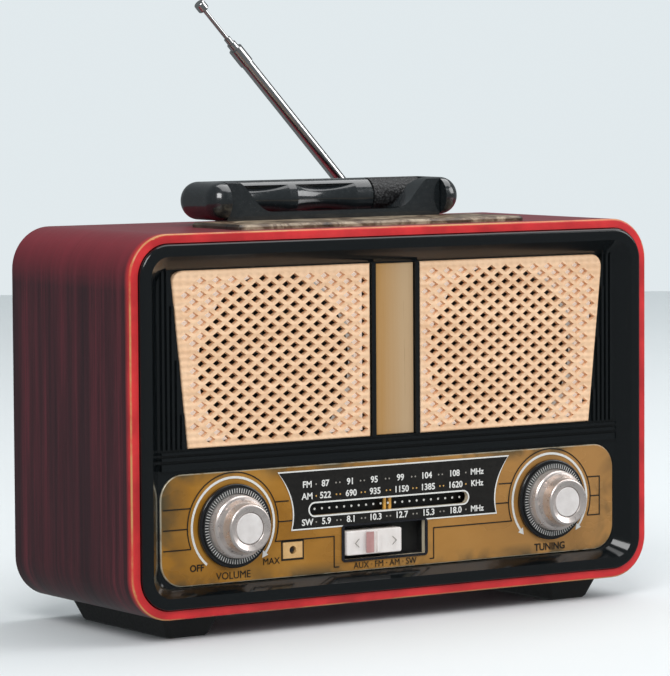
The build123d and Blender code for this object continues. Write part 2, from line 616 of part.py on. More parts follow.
# pointer: a blade in the slot, an arm over the backing, and a slide on the rail
RAIL_Z = DIAL_SLOT_Z + 9.5
RAIL_R = 1.2
RAIL_Y = PLATE_BACK_Y + 6.4
CORD_RUN_Z = KNOB_Z + CORD_AT - CORD_R - FIT
with BuildPart() as drive_posts:
    with BuildSketch(facing(DRUM_Y0 - 1)):
        with Locations((IDLER_X, IDLER_Z)):
            Circle(1.55)
    extrude(amount=-(BOARD_Y - DRUM_Y0 + 1))
    with BuildSketch(facing(DRUM_Y1 + FIT)):
        with Locations((IDLER_X, IDLER_Z)):
            Circle(2.6)
    extrude(amount=-(BOARD_Y - DRUM_Y1 - FIT))
    with BuildSketch(Plane.YZ.offset(DIAL_SLOT_X0 - 6)):
        with Locations((RAIL_Y, RAIL_Z)):
            Circle(RAIL_R)
    extrude(amount=DIAL_SLOT_X1 - DIAL_SLOT_X0 + 12)
    for x in (DIAL_SLOT_X0 - 6, DIAL_SLOT_X1 + 4):
        with BuildSketch(Plane.YZ.offset(x)):
            with Locations(((RAIL_Y + BOARD_Y) / 2, RAIL_Z)):
                Rectangle(BOARD_Y - RAIL_Y, 2 * RAIL_R)
        extrude(amount=2)
keep(drive_posts.part, "drive_posts")

with BuildPart() as dial_pointer:
    with BuildSketch(facing(PLATE_BACK_Y + FIT)):
        for dx in (-1, 1):
            with Locations((POINTER_X + dx * (POINTER_W / 2 - 0.6), DIAL_SLOT_Z)):
                Rectangle(1.2, DIAL_SLOT_H + 2)
        with Locations((POINTER_X, DIAL_SLOT_Z + DIAL_SLOT_H / 2 + 3.4)):
            Rectangle(POINTER_W, 5.6)
    extrude(amount=-0.8)
    with BuildSketch(facing(PLATE_BACK_Y + FIT)):
        with Locations((POINTER_X, RAIL_Z)):
            Rectangle(POINTER_W, 4.4)
    extrude(amount=-(RAIL_Y - PLATE_BACK_Y - FIT + 2.2))
    # a tab carries the slide up to the dial cord
    with BuildSketch(facing(RAIL_Y + 1.6)):
        with Locations((POINTER_X, (RAIL_Z + 1.8 + CORD_RUN_Z) / 2)):
            Rectangle(POINTER_W, CORD_RUN_Z - RAIL_Z - 1.8)
    extrude(amount=-(DRUM_Y + 1.2 - RAIL_Y - 1.6))
    with BuildSketch(Plane.YZ.offset(POINTER_X - POINTER_W)):
        with Locations((RAIL_Y, RAIL_Z)):
            Circle(RAIL_R + RUNNING)
    extrude(amount=2 * POINTER_W, mode=Mode.SUBTRACT)
keep(dial_pointer.part, "dial_pointer")

# ================= band switch =================
TRAY_Y1 = PLATE_BACK_Y + 3.6
with BuildPart() as switch_tray:
    with BuildSketch(facing(PLATE_BACK_Y)):
        with Locations(((SWITCH_X0 + SWITCH_X1) / 2, (SWITCH_Z0 + SWITCH_Z1) / 2)):
            Rectangle(SWITCH_X1 - SWITCH_X0 + 2 * TRAY_WALL, SWITCH_Z1 - SWITCH_Z0 + 2 * TRAY_WALL)
            Rectangle(SWITCH_X1 - SWITCH_X0, SWITCH_Z1 - SWITCH_Z0, mode=Mode.SUBTRACT)
    extrude(amount=-(TRAY_Y1 - PLATE_BACK_Y))
    with BuildSketch(facing(TRAY_Y1)):
        with Locations(((SWITCH_X0 + SWITCH_X1) / 2, (SWITCH_Z0 + SWITCH_Z1) / 2)):
            Rectangle(SWITCH_X1 - SWITCH_X0 + 2 * TRAY_WALL, SWITCH_Z1 - SWITCH_Z0 + 2 * TRAY_WALL)
        with Locations((SWITCH_X0 + SLIDER_W / 2 + SLIDER_TRAVEL / 2, (SWITCH_Z0 + SWITCH_Z1) / 2)):
            Rectangle(SLIDER_TRAVEL + 5, 3.0, mode=Mode.SUBTRACT)
    extrude(amount=-TRAY_WALL)
keep(switch_tray.part, "switch_tray")

SLIDER_X = SWITCH_X0 + FIT + SLIDER_W / 2
SLIDER_Z = BOTTOM_Z + 23.75
with BuildPart() as band_slider:
    with BuildSketch(facing(PLATE_FRONT_Y - SLIDER_PROUD)):
        with Locations((SLIDER_X, SLIDER_Z)):
            RectangleRounded(SLIDER_W, SLIDER_H, 0.8)
    extrude(amount=-(TRAY_Y1 - FIT - PLATE_FRONT_Y + SLIDER_PROUD))
    fillet(band_slider.faces().sort_by(Axis.Y)[0].outer_wire().edges(), 0.5)
    with BuildSketch(facing(PLATE_FRONT_Y - SLIDER_PROUD)):
        for dx in (-1.6, 1.6):
            with Locations((SLIDER_X + dx, SLIDER_Z)):
                Rectangle(1.5, SLIDER_H - 1.6)
    extrude(amount=1.0)
    with BuildSketch(facing(TRAY_Y1 - FIT)):
        with Locations((SLIDER_X, SLIDER_Z)):
            Rectangle(2.6, 2.0)
    extrude(amount=-(TRAY_WALL + FIT + 2.0))
keep(band_slider.part, "band_slider")

with BuildPart() as switch_body:
    with BuildSketch(facing(TRAY_Y1 + TRAY_WALL)):
        with Locations((SWITCH_X0 + SLIDER_W / 2 + SLIDER_TRAVEL / 2, SLIDER_Z)):
            Rectangle(30, 8)
    extrude(amount=-(BOARD_Y - TRAY_Y1 - TRAY_WALL))
    with BuildSketch(facing(TRAY_Y1 + TRAY_WALL)):
        with Locations((SWITCH_X0 + SLIDER_W / 2 + SLIDER_TRAVEL / 2, SLIDER_Z)):
            Rectangle(SLIDER_TRAVEL + 5, 3.0)
    extrude(amount=-3.0, mode=Mode.SUBTRACT)
keep(switch_body.part, "switch_body")

# ================= indicator =================
with BuildPart() as indicator_frame:
    with BuildSketch(facing(PLATE_FRONT_Y - 0.4)):
        with Locations((LAMP_X, LAMP_Z)):
            Rectangle(LAMP_W - 2 * FIT, LAMP_H - 2 * FIT)
            Circle(LAMP_R + 0.1, mode=Mode.SUBTRACT)
    extrude(amount=-(PLATE_T + 0.4))
    with BuildSketch(facing(PLATE_BACK_Y)):
        with Locations((LAMP_X, LAMP_Z)):
            Rectangle(LAMP_W + 2, LAMP_H + 2)
            Circle(LAMP_R + 0.1, mode=Mode.SUBTRACT)
    extrude(amount=-1.0)
keep(indicator_frame.part, "indicator_frame")

with BuildPart() as indicator_led:
    with BuildSketch(facing(PLATE_FRONT_Y + 0.3)):
        with Locations((LAMP_X, LAMP_Z)):
            Circle(LAMP_R)
    extrude(amount=-5.0)
    fillet(indicator_led.faces().sort_by(Axis.Y)[0].edges(), 1.0)
    with BuildSketch(facing(PLATE_FRONT_Y + 5.3)):
        for dx in (-0.9, 0.9):
            with Locations((LAMP_X + dx, LAMP_Z)):
                Rectangle(0.6, 0.6)
    extrude(amount=-(BOARD_Y - PLATE_FRONT_Y - 5.3))
keep(indicator_led.part, "indicator_led")

# ================= boards =================
with BuildPart() as main_board:
    with BuildSketch(facing(BOARD_Y)):
        with Locations((0, (BOARD_Z0 + BOARD_Z1) / 2)):
            Rectangle(2 * BOARD_HALF, BOARD_Z1 - BOARD_Z0)
        with Locations(*boss_spots):
            Circle(SCREW_R + 0.2, mode=Mode.SUBTRACT)
    extrude(amount=-BOARD_T)
keep(main_board.part, "main_board")

BOARD_BACK_Y = BOARD_Y + BOARD_T
with BuildPart() as board_components:
    with BuildSketch(facing(BOARD_BACK_Y)):
        for x, z, radius in ((-80, 12, 4), (-68, 12, 4), (-58, 30, 3.2), (70, 14, 5), (84, 14, 5)):
            with Locations((x, BOARD_Z0 + z)):
                Circle(radius)
    extrude(amount=-11)
    with BuildSketch(facing(BOARD_BACK_Y)):
        for x, z, wide, high in ((-30, 26, 10, 10), (8, 26, 18, 7), (40, 16, 9, 9), (40, 32, 9, 9)):
            with Locations((x, BOARD_Z0 + z)):
                Rectangle(wide, high)
    extrude(amount=-5)
keep(board_components.part, "board_components")

with BuildPart() as inner_screws:
    for face_y, spots, depth in ((SPEAKER_FRONT_Y + SPEAKER_RIM_T / 2, speaker_screw_spots, SPEAKER_RIM_T / 2 + FELT_T),
                                 (BOARD_BACK_Y, boss_spots, BOARD_T + 6)):
        with BuildSketch(facing(face_y)):
            with Locations(*spots):
                Circle(HEAD_R)
        extrude(amount=-HEAD_T)
        with BuildSketch(facing(face_y)):
            with Locations(*spots):
                Circle(SCREW_R)
        extrude(amount=depth)
keep(inner_screws.part, "inner_screws")

# ferrite aerial on two cradles under the cabinet's top
ROD_Z = TOP_Z - WALL - 7
ROD_Y = FRONT_Y + 62
with BuildPart() as ferrite_cradles:
    for x in (-70, 10):
        with BuildSketch(Plane.YZ.offset(x)):
            with Locations((ROD_Y, (ROD_Z - 3 + TOP_Z - WALL) / 2)):
                Rectangle(14, TOP_Z - WALL - ROD_Z + 3)
            with Locations((ROD_Y, ROD_Z)):
                Circle(4.0, mode=Mode.SUBTRACT)
            with Locations((ROD_Y, ROD_Z - 4)):
                Rectangle(5, 6, mode=Mode.SUBTRACT)
        extrude(amount=4)
keep(ferrite_cradles.part, "ferrite_cradles")

with BuildPart() as ferrite_rod:
    with BuildSketch(Plane.YZ.offset(-80)):
        with Locations((ROD_Y, ROD_Z)):
            Circle(4.0)
    extrude(amount=104)
keep(ferrite_rod.part, "ferrite_rod")

with BuildPart() as ferrite_coil:
    with BuildSketch(Plane.YZ.offset(-50)):
        with Locations((ROD_Y, ROD_Z)):
            Circle(5.2)
            Circle(4.0, mode=Mode.SUBTRACT)
    extrude(amount=34)
keep(ferrite_coil.part, "ferrite_coil")

# ================= rear panel =================
REAR_W = WIDTH - 2 * (WALL - REAR_LEDGE) - 2 * FIT
REAR_H = HEIGHT - 2 * (WALL - REAR_LEDGE) - 2 * FIT
REAR_R = CORNER_R - WALL + REAR_LEDGE - FIT
rear_screw_spots = [(x, MID_Z + dz * (REAR_H / 2 - 9)) for x in (-REAR_W / 2 + 9, 0, REAR_W / 2 - 9) for dz in (-1, 1)]
BAY_D = 22.0
SOCKETS_X = 62.0
SOCKETS_Z = BOTTOM_Z + 40
USB_W = 12.6
USB_H = 5.2
JACK_R = 1.8
STUB_R = 3.0
with BuildPart() as rear_panel:
    with BuildSketch(facing(REAR_Y0)):
        with Locations((0, MID_Z)):
            RectangleRounded(REAR_W, REAR_H, REAR_R)
    extrude(amount=-REAR_T)
    with BuildSketch(facing(REAR_Y1)):
        with Locations(*rear_screw_spots):
            Circle(HEAD_R + FIT)
        with Locations((DOOR_X, DOOR_Z)):
            Rectangle(DOOR_W + 2 * FIT, DOOR_H + 2 * FIT)
    extrude(amount=HEAD_T + 0.2, mode=Mode.SUBTRACT)
    with BuildSketch(facing(REAR_Y1)):
        with Locations(*rear_screw_spots):
            Circle(SCREW_R + 0.2)
        with Locations((DOOR_X, DOOR_Z)):
            Rectangle(DOOR_W - 8, DOOR_H - 8)
        with Locations((SOCKETS_X - 14, SOCKETS_Z)):
            Rectangle(USB_W + 2.4, USB_H + 2.4)
        with Locations((SOCKETS_X + 4, SOCKETS_Z)):
            Circle(JACK_R + 1.6)
        with Locations((SOCKETS_X + 18, SOCKETS_Z)):
            Circle(4.2)
        with Locations((AERIAL_X, AERIAL_Z)):
            Circle(STUB_R + RUNNING)
        for row in range(9):
            with Locations((-35, BOTTOM_Z + 82 + 5 * row), (25, BOTTOM_Z + 82 + 5 * row)):
                SlotOverall(40, 2.2)
    extrude(amount=REAR_T, mode=Mode.SUBTRACT)
    # battery bay: a tray behind the door
    with BuildSketch(facing(REAR_Y0)):
        with Locations((DOOR_X, DOOR_Z)):
            Rectangle(DOOR_W - 4, DOOR_H - 4)
            Rectangle(DOOR_W - 8, DOOR_H - 8, mode=Mode.SUBTRACT)
    extrude(amount=BAY_D)
    with BuildSketch(facing(REAR_Y0 - BAY_D)):
        with Locations((DOOR_X, DOOR_Z)):
            Rectangle(DOOR_W - 4, DOOR_H - 4)
    extrude(amount=2)
keep(rear_panel.part, "rear_panel")

with BuildPart() as rear_screws:
    with BuildSketch(facing(REAR_Y1 - HEAD_T - 0.2)):
        with Locations(*rear_screw_spots):
            Circle(HEAD_R)
    extrude(amount=-HEAD_T)
    with BuildSketch(facing(REAR_Y1 - HEAD_T - 0.2)):
        with Locations(*rear_screw_spots):
            Circle(SCREW_R)
    extrude(amount=REAR_T - HEAD_T - 0.2)
    with BuildSketch(facing(REAR_Y1)):
        with Locations(*rear_screw_spots):
            Rectangle(3.4, 0.7)
            Rectangle(0.7, 3.4)
    extrude(amount=1.0, mode=Mode.SUBTRACT)
keep(rear_screws.part, "rear_screws")

with BuildPart() as battery_door:
    with BuildSketch(facing(REAR_Y1 - HEAD_T - 0.2)):
        with Locations((DOOR_X, DOOR_Z)):
            Rectangle(DOOR_W, DOOR_H)
    extrude(amount=-(HEAD_T + 0.2))
    with BuildSketch(facing(REAR_Y1)):
        for step in range(5):
            with Locations((DOOR_X + DOOR_W / 2 - 8 - 2.4 * step, DOOR_Z)):
                Rectangle(1.0, 14)
    extrude(amount=0.6, mode=Mode.SUBTRACT)
keep(battery_door.part, "battery_door")

BATTERY_Y = REAR_Y0 - BATTERY_R - 2.5
with BuildPart() as battery:
    with BuildSketch(Plane.YZ.offset(DOOR_X - BATTERY_L / 2)):
        with Locations((BATTERY_Y, DOOR_Z)):
            Circle(BATTERY_R)
    extrude(amount=BATTERY_L)
    fillet(battery.edges().filter_by(GeomType.CIRCLE), 0.8)
    with BuildSketch(Plane.YZ.offset(DOOR_X + BATTERY_L / 2)):
        with Locations((BATTERY_Y, DOOR_Z)):
            Circle(3)
    extrude(amount=1.2)
keep(battery.part, "battery")

BAY_HALF = (DOOR_W - 8) / 2
with BuildPart() as battery_contacts:
    with BuildSketch(Plane.YZ.offset(DOOR_X + BAY_HALF - 0.8)):
        with Locations((BATTERY_Y, DOOR_Z)):
            Rectangle(12, 14)
    extrude(amount=0.8)
    with BuildSketch(Plane.YZ.offset(DOOR_X + BATTERY_L / 2 + 1.2 + FIT)):
        with Locations((BATTERY_Y, DOOR_Z)):
            Circle(2)
    extrude(amount=BAY_HALF - 0.8 - BATTERY_L / 2 - 1.2 - FIT)
    with BuildSketch(Plane.YZ.offset(DOOR_X - BAY_HALF)):
        with Locations((BATTERY_Y, DOOR_Z)):
            Rectangle(12, 14)
    extrude(amount=0.8)
    with BuildSketch(Plane.YZ.offset(DOOR_X - BAY_HALF + 0.8)):
        with Locations((BATTERY_Y, DOOR_Z)):
            Circle(3.2)
    extrude(amount=BAY_HALF - 0.8 - BATTERY_L / 2 - FIT)
keep(battery_contacts.part, "battery_contacts")

# sockets on a small board behind the rear panel
SOCKET_DEEP = 14.0
with BuildPart() as socket_board:
    with BuildSketch(Plane.XY.offset(SOCKETS_Z - 7.2)):
        with Locations((SOCKETS_X + 2, REAR_Y0 - 11)):
            Rectangle(52, 20)
    extrude(amount=1.6)
    for x in (SOCKETS_X - 22, SOCKETS_X + 26):
        with BuildSketch(facing(REAR_Y0 - 1)):
            with Locations((x, SOCKETS_Z - 9)):
                Rectangle(4, 5)
        extrude(amount=-1)
keep(socket_board.part, "socket_board")

with BuildPart() as rear_sockets:
    with BuildSketch(facing(REAR_Y1 - 0.4)):
        with Locations((SOCKETS_X - 14, SOCKETS_Z)):
            Rectangle(USB_W + 1.4, USB_H + 1.4)
    extrude(amount=SOCKET_DEEP)
    with BuildSketch(facing(REAR_Y1 - 0.4)):
        with Locations((SOCKETS_X - 14, SOCKETS_Z)):
            Rectangle(USB_W, USB_H)
    extrude(amount=SOCKET_DEEP - 2, mode=Mode.SUBTRACT)
    with BuildSketch(Plane.XY.offset(SOCKETS_Z - 5.6)):
        with Locations((SOCKETS_X - 14, REAR_Y0 - 8)):
            Rectangle(USB_W, 6)
    extrude(amount=5.6 - USB_H / 2 - 0.7)
    with BuildSketch(facing(REAR_Y1 - 0.4)):
        with Locations((SOCKETS_X + 4, SOCKETS_Z)):
            Circle(JACK_R + 1.4)
    extrude(amount=REAR_T)
    with BuildSketch(facing(REAR_Y0 - 0.2)):
        with Locations((SOCKETS_X + 4, SOCKETS_Z - 1)):
            Rectangle(7, 9.2)
    extrude(amount=12)
    with BuildSketch(facing(REAR_Y1)):
        with Locations((SOCKETS_X + 4, SOCKETS_Z)):
            Circle(JACK_R)
    extrude(amount=14, mode=Mode.SUBTRACT)
    with BuildSketch(facing(REAR_Y1 - 0.4)):
        with Locations((SOCKETS_X + 18, SOCKETS_Z)):
            Circle(4.0)
    extrude(amount=REAR_T)
    with BuildSketch(facing(REAR_Y0 - 0.2)):
        with Locations((SOCKETS_X + 18, SOCKETS_Z - 0.55)):
            Rectangle(9.6, 10.1)
    extrude(amount=12)
    with BuildSketch(facing(REAR_Y1)):
        with Locations((SOCKETS_X + 18, SOCKETS_Z)):
            Circle(2.8)
            Circle(0.8, mode=Mode.SUBTRACT)
    extrude(amount=11, mode=Mode.SUBTRACT)
keep(rear_sockets.part, "rear_sockets")

# ================= feet =================
FOOT_X = 93.0
FOOT_Y = -1.5
FOOT_W = 26.0
FOOT_L = 74.0
FOOT_TAPER = 3.3                # drawn in on every side, from top to bottom
FOOT_EDGE = 0.8
with BuildPart() as feet:
    for side in SIDES:
        levels = ((BOTTOM_Z, 0.0), (FOOT_EDGE, FOOT_TAPER), (0.0, FOOT_TAPER + FOOT_EDGE))
        for (z_high, in_high), (z_low, in_low) in zip(levels, levels[1:]):
            for z, drawn_in in ((z_high, in_high), (z_low, in_low)):
                with BuildSketch(Plane.XY.offset(z)):
                    with Locations((side * FOOT_X, FOOT_Y)):
                        RectangleRounded(FOOT_W - 2 * drawn_in, FOOT_L - 2 * drawn_in, 2)
            loft()
keep(feet.part, "feet")

# ================= top plate and handle =================
with BuildPart() as top_plate:
    with BuildSketch(Plane.XY.offset(TOP_Z)):
        with Locations((0, (TOP_PLATE_Y0 + TOP_PLATE_Y1) / 2)):
            RectangleRounded(2 * TOP_PLATE_HALF, TOP_PLATE_Y1 - TOP_PLATE_Y0, 1.5)
    extrude(amount=TOP_PLATE_T)
    chamfer(top_plate.faces().sort_by(Axis.Z)[-1].edges(), 0.9)
keep(top_plate.part, "top_plate")

with BuildPart() as handle_base:
    with BuildSketch(facing(BASE_Y0)):
        with BuildLine():
            inner = BASE_HALF - POST_FLAT
            low = inner - SWOOSH
            Polyline((-low, RAIL_TOP_Z), (low, RAIL_TOP_Z))
            Bezier((low, RAIL_TOP_Z), (low + 9, RAIL_TOP_Z), (inner - 6, POST_TOP_Z - 1.5), (inner, POST_TOP_Z))
            Polyline((inner, POST_TOP_Z), (BASE_HALF, POST_TOP_Z), (BASE_HALF, TOP_Z), (-BASE_HALF, TOP_Z),
                     (-BASE_HALF, POST_TOP_Z), (-inner, POST_TOP_Z))
            Bezier((-inner, POST_TOP_Z), (-inner + 6, POST_TOP_Z - 1.5), (-low - 9, RAIL_TOP_Z), (-low, RAIL_TOP_Z))
        make_face()
    extrude(amount=-BASE_D)
    # rounded top over the pivot, so that the grip can pass
    with BuildSketch(Plane.YZ.offset(-BASE_HALF - 1)):
        with Locations((BASE_Y0 + BASE_D / 2, (PIVOT_Z + POST_TOP_Z) / 2 + 5)):
            Rectangle(BASE_D + 2, POST_TOP_Z - PIVOT_Z + 10)
        with Locations((PIVOT_Y, PIVOT_Z)):
            Circle(POST_TOP_Z - PIVOT_Z, mode=Mode.SUBTRACT)
    extrude(amount=2 * BASE_HALF + 2, mode=Mode.SUBTRACT)
    with BuildSketch(Plane.YZ.offset(-BASE_HALF - 1)):
        with Locations((PIVOT_Y, PIVOT_Z)):
            Circle(PIN_R + RUNNING)
    extrude(amount=9, mode=Mode.SUBTRACT)
    with BuildSketch(Plane.YZ.offset(BASE_HALF - 8)):
        with Locations((PIVOT_Y, PIVOT_Z)):
            Circle(PIN_R + RUNNING)
    extrude(amount=9, mode=Mode.SUBTRACT)
keep(handle_base.part, "handle_base")

GRIP_Y = PIVOT_Y + ARM_LENGTH
ARM_X0 = BASE_HALF + 0.4
with BuildPart() as handle_arms:
    for side in SIDES:
        with BuildSketch(Plane.YZ.offset(side * ARM_X0)):
            with Locations(((PIVOT_Y + GRIP_Y) / 2, PIVOT_Z)):
                SlotOverall(ARM_LENGTH + 2 * GRIP_R, 2 * GRIP_R)
        extrude(amount=side * ARM_T)
    outer_faces = handle_arms.faces().sort_by(Axis.X)
    fillet(outer_faces[0].edges() + outer_faces[-1].edges(), ARM_ROUND)
    for side in SIDES:
        with BuildSketch(Plane.YZ.offset(side * ARM_X0)):
            with Locations((PIVOT_Y, PIVOT_Z)):
                Circle(PIN_R)
        extrude(amount=side * 6, mode=Mode.SUBTRACT)
keep(handle_arms.part, "handle_arms")

with BuildPart() as handle_pins:
    for side in (-1, 1):
        with BuildSketch(Plane.YZ.offset(side * (ARM_X0 + 5.7))):
            with Locations((PIVOT_Y, PIVOT_Z)):
                Circle(PIN_R)
        extrude(amount=-side * 12.5)
keep(handle_pins.part, "handle_pins")

SLEEVE_X0 = 27.4
SLEEVE_T = 0.9
HOLLOW_START = 42.0             # degrees from the top, towards the front
HOLLOW_TURN = 118.0
with BuildPart() as handle_grip:
    with BuildSketch(Plane.YZ.offset(-ARM_X0)):
        with Locations((GRIP_Y, PIVOT_Z)):
            Circle(GRIP_R)
    extrude(amount=ARM_X0 + SLEEVE_X0 - 1)
    with BuildSketch(Plane.YZ.offset(SLEEVE_X0 - 1)):
        with Locations((GRIP_Y, PIVOT_Z)):
            Circle(GRIP_R - SLEEVE_T)
    extrude(amount=ARM_X0 - SLEEVE_X0 + 1)
    # two finger hollows, from just below the top round to the underside
    for x in (-28.8, 4.0):
        with BuildSketch(Plane(origin=(x, GRIP_Y, PIVOT_Z), x_dir=(1, 0, 0),
                               z_dir=(0, -cos(radians(HOLLOW_START)), -sin(radians(HOLLOW_START))))):
            with BuildLine():
                ThreePointArc((-14.6, GRIP_R), (0, GRIP_R - 2.2), (14.6, GRIP_R))
                Polyline((14.6, GRIP_R), (14.6, GRIP_R + 3), (-14.6, GRIP_R + 3), (-14.6, GRIP_R))
            make_face()
        revolve(axis=Axis((0, GRIP_Y, PIVOT_Z), (1, 0, 0)), revolution_arc=HOLLOW_TURN, mode=Mode.SUBTRACT)
keep(handle_grip.part, "handle_grip")

with BuildPart() as handle_sleeve:
    with BuildSketch(Plane.YZ.offset(SLEEVE_X0)):
        with Locations((GRIP_Y, PIVOT_Z)):
            Circle(GRIP_R)
            Circle(GRIP_R - SLEEVE_T, mode=Mode.SUBTRACT)
    extrude(amount=ARM_X0 - SLEEVE_X0)
keep(handle_sleeve.part, "handle_sleeve")

# ================= telescopic aerial =================
lean = radians(AERIAL_LEAN)
mast_dir = Vector(-sin(lean), 0, cos(lean))
mast_frame = Plane(origin=(AERIAL_X, AERIAL_Y, AERIAL_Z), x_dir=(0, 1, 0), z_dir=mast_dir)
EAR_R = 3.2
EAR_T = 1.4
TONGUE_T = 2.4
EAR_GAP = 0.3
KNUCKLE_PIN_R = 1.0
DISC_Y0 = REAR_Y1 + FIT
DISC_Y1 = AERIAL_Y - EAR_R - 0.3


def on_mast(height):
    """A sketch plane square to the mast, at a height along it."""
    return mast_frame.offset(height)


with BuildPart() as aerial_swivel:
    with BuildSketch(facing(DISC_Y0)):
        with Locations((AERIAL_X, AERIAL_Z)):
            Circle(6)
    extrude(amount=-(DISC_Y1 - DISC_Y0))
    with BuildSketch(facing(DISC_Y0)):
        with Locations((AERIAL_X, AERIAL_Z)):
            Circle(STUB_R)
    extrude(amount=REAR_T + 3)
    for side in (-1, 1):
        ear_face = Plane(origin=mast_frame.origin + mast_frame.y_dir * side * (TONGUE_T / 2 + EAR_GAP),
                         x_dir=(0, 1, 0), z_dir=mast_frame.y_dir * side)
        with BuildSketch(ear_face):
            Circle(EAR_R)
            with Locations((-(AERIAL_Y - DISC_Y1) / 2 - 0.3, 0)):
                Rectangle(AERIAL_Y - DISC_Y1 + 0.6, 2 * EAR_R)
            Circle(KNUCKLE_PIN_R, mode=Mode.SUBTRACT)
        extrude(amount=EAR_T)
keep(aerial_swivel.part, "aerial_swivel")

with BuildPart() as aerial_hardware:
    with BuildSketch(facing(REAR_Y0 - FIT)):
        with Locations((AERIAL_X, AERIAL_Z)):
            RegularPolygon(5, 6)
            Circle(STUB_R, mode=Mode.SUBTRACT)
    extrude(amount=2.2)
    with BuildSketch(Plane(origin=mast_frame.origin - mast_frame.y_dir * (TONGUE_T / 2 + EAR_GAP + EAR_T),
                           x_dir=(0, 1, 0), z_dir=mast_frame.y_dir)):
        Circle(KNUCKLE_PIN_R)
    extrude(amount=TONGUE_T + 2 * EAR_GAP + 2 * EAR_T)
keep(aerial_hardware.part, "aerial_hardware")

MAST_FOOT = 5.0
with BuildPart() as aerial_tube:
    with BuildSketch(Plane(origin=mast_frame.origin - mast_frame.y_dir * TONGUE_T / 2,
                           x_dir=(0, 1, 0), z_dir=mast_frame.y_dir)):
        Circle(EAR_R - 0.3)
        Circle(KNUCKLE_PIN_R + RUNNING, mode=Mode.SUBTRACT)
    extrude(amount=TONGUE_T)
    with BuildSketch(on_mast(EAR_R - 1.2)):
        Rectangle(2 * SECTION_R[0] - 0.4, TONGUE_T)
    extrude(amount=MAST_FOOT - EAR_R + 1.2)
    with BuildSketch(on_mast(MAST_FOOT)):
        Circle(SECTION_R[0])
    extrude(amount=SECTION_L)
    with BuildSketch(on_mast(MAST_FOOT + 2)):
        Circle(SECTION_R[1] + RUNNING)
    extrude(amount=SECTION_L, mode=Mode.SUBTRACT)
    with BuildSketch(on_mast(MAST_FOOT + SECTION_L - 8)):
        Circle(SECTION_R[0] + 0.4)
        Circle(SECTION_R[1] + RUNNING, mode=Mode.SUBTRACT)
    extrude(amount=8)
    with BuildSketch(on_mast(MAST_FOOT)):
        Circle(SECTION_R[0] + 0.4)
    extrude(amount=2)
keep(aerial_tube.part, "aerial_tube")

for index, name in ((1, "aerial_section_2"), (2, "aerial_section_3")):
    start = MAST_FOOT + 2 + 0.5 * index + 0.4 * (index - 1)
    end = MAST_FOOT + SECTION_L + STEP_OUT * index
    with BuildPart() as section:
        with BuildSketch(on_mast(start)):
            Circle(SECTION_R[index])
        extrude(amount=end - start)
        with BuildSketch(on_mast(start + 0.4)):
            Circle(SECTION_R[index + 1] + RUNNING)
        extrude(amount=end - start, mode=Mode.SUBTRACT)
    keep(section.part, name)

ROD_START = MAST_FOOT + 4.5 + ROD_OUT
ROD_END = MAST_FOOT + SECTION_L + 2 * STEP_OUT + ROD_OUT
with BuildPart() as aerial_rod:
    with BuildSketch(on_mast(ROD_START)):
        Circle(SECTION_R[3])
    extrude(amount=ROD_END - ROD_START)
    with BuildSketch(on_mast(ROD_END)):
        Circle(TIP_R)
    extrude(amount=TIP_L)
    fillet(aerial_rod.edges().filter_by(GeomType.CIRCLE).group_by(lambda e: e.radius)[-1], 0.8)
keep(aerial_rod.part, "aerial_rod")

print(len(made), "pieces")
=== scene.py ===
# %% [markdown]
# A retro table radio: a wooden sleeve wrapped in red grain, a glossy black front, two woven grilles, a gold
# dial with its window, silver knobs, a folding handle and a telescopic aerial.  The exact parts come from the
# CAD frame and are never moved.  This lesson gives them their finish, and adds what is printed, engraved or
# worn: the dial's window and lettering, the ticks round the knobs and the marks on the switch.

# %% Start from the frame
import math

import bpy
from mathutils import Matrix, Vector


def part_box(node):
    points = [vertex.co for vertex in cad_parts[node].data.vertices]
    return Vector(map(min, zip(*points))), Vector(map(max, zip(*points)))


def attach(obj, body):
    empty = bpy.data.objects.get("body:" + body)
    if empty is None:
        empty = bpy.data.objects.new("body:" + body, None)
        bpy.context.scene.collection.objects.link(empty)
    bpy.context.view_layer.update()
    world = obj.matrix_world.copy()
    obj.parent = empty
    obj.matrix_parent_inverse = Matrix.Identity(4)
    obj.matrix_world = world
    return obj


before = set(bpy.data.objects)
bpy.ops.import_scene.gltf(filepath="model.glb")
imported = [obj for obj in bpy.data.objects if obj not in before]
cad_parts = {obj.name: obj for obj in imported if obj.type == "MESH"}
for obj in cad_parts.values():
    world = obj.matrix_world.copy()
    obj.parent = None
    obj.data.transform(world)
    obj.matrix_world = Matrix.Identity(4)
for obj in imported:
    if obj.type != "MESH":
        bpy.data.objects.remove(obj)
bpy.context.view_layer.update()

# %% [markdown]
# Every operator acts on all that is selected, so one helper clears the selection, another picks one piece.

# %% Selecting
MM = 0.001


def clear_selection():
    if bpy.context.object and bpy.context.object.mode != "OBJECT":
        bpy.ops.object.mode_set(mode="OBJECT")
    bpy.ops.object.select_all(action="DESELECT")


def pick(piece):
    clear_selection()
    piece.select_set(True)
    bpy.context.view_layer.objects.active = piece


def settle(piece):
    """Puts the piece's place into its mesh, so that its object sits at the origin."""
    pick(piece)
    bpy.ops.object.transform_apply(location=True, rotation=True, scale=True)


clear_selection()

# %% [markdown]
# The places come from the frame: the plate's front, the cabinet's front and base, and the knobs' middles.

# %% Places
plate_low, plate_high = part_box("dial_plate")
plate_front = plate_low[1]
plate_z0 = plate_low[2]
shell_low, shell_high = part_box("cabinet_shell")
front_y = shell_low[1]
base_z = shell_low[2]
volume_low, volume_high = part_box("volume_knob_skirt")
knob_x = -(volume_low[0] + volume_high[0]) / 2
knob_z = (volume_low[2] + volume_high[2]) / 2
print("plate front", round(plate_front, 5), "knobs at", round(knob_x, 5), round(knob_z, 5))

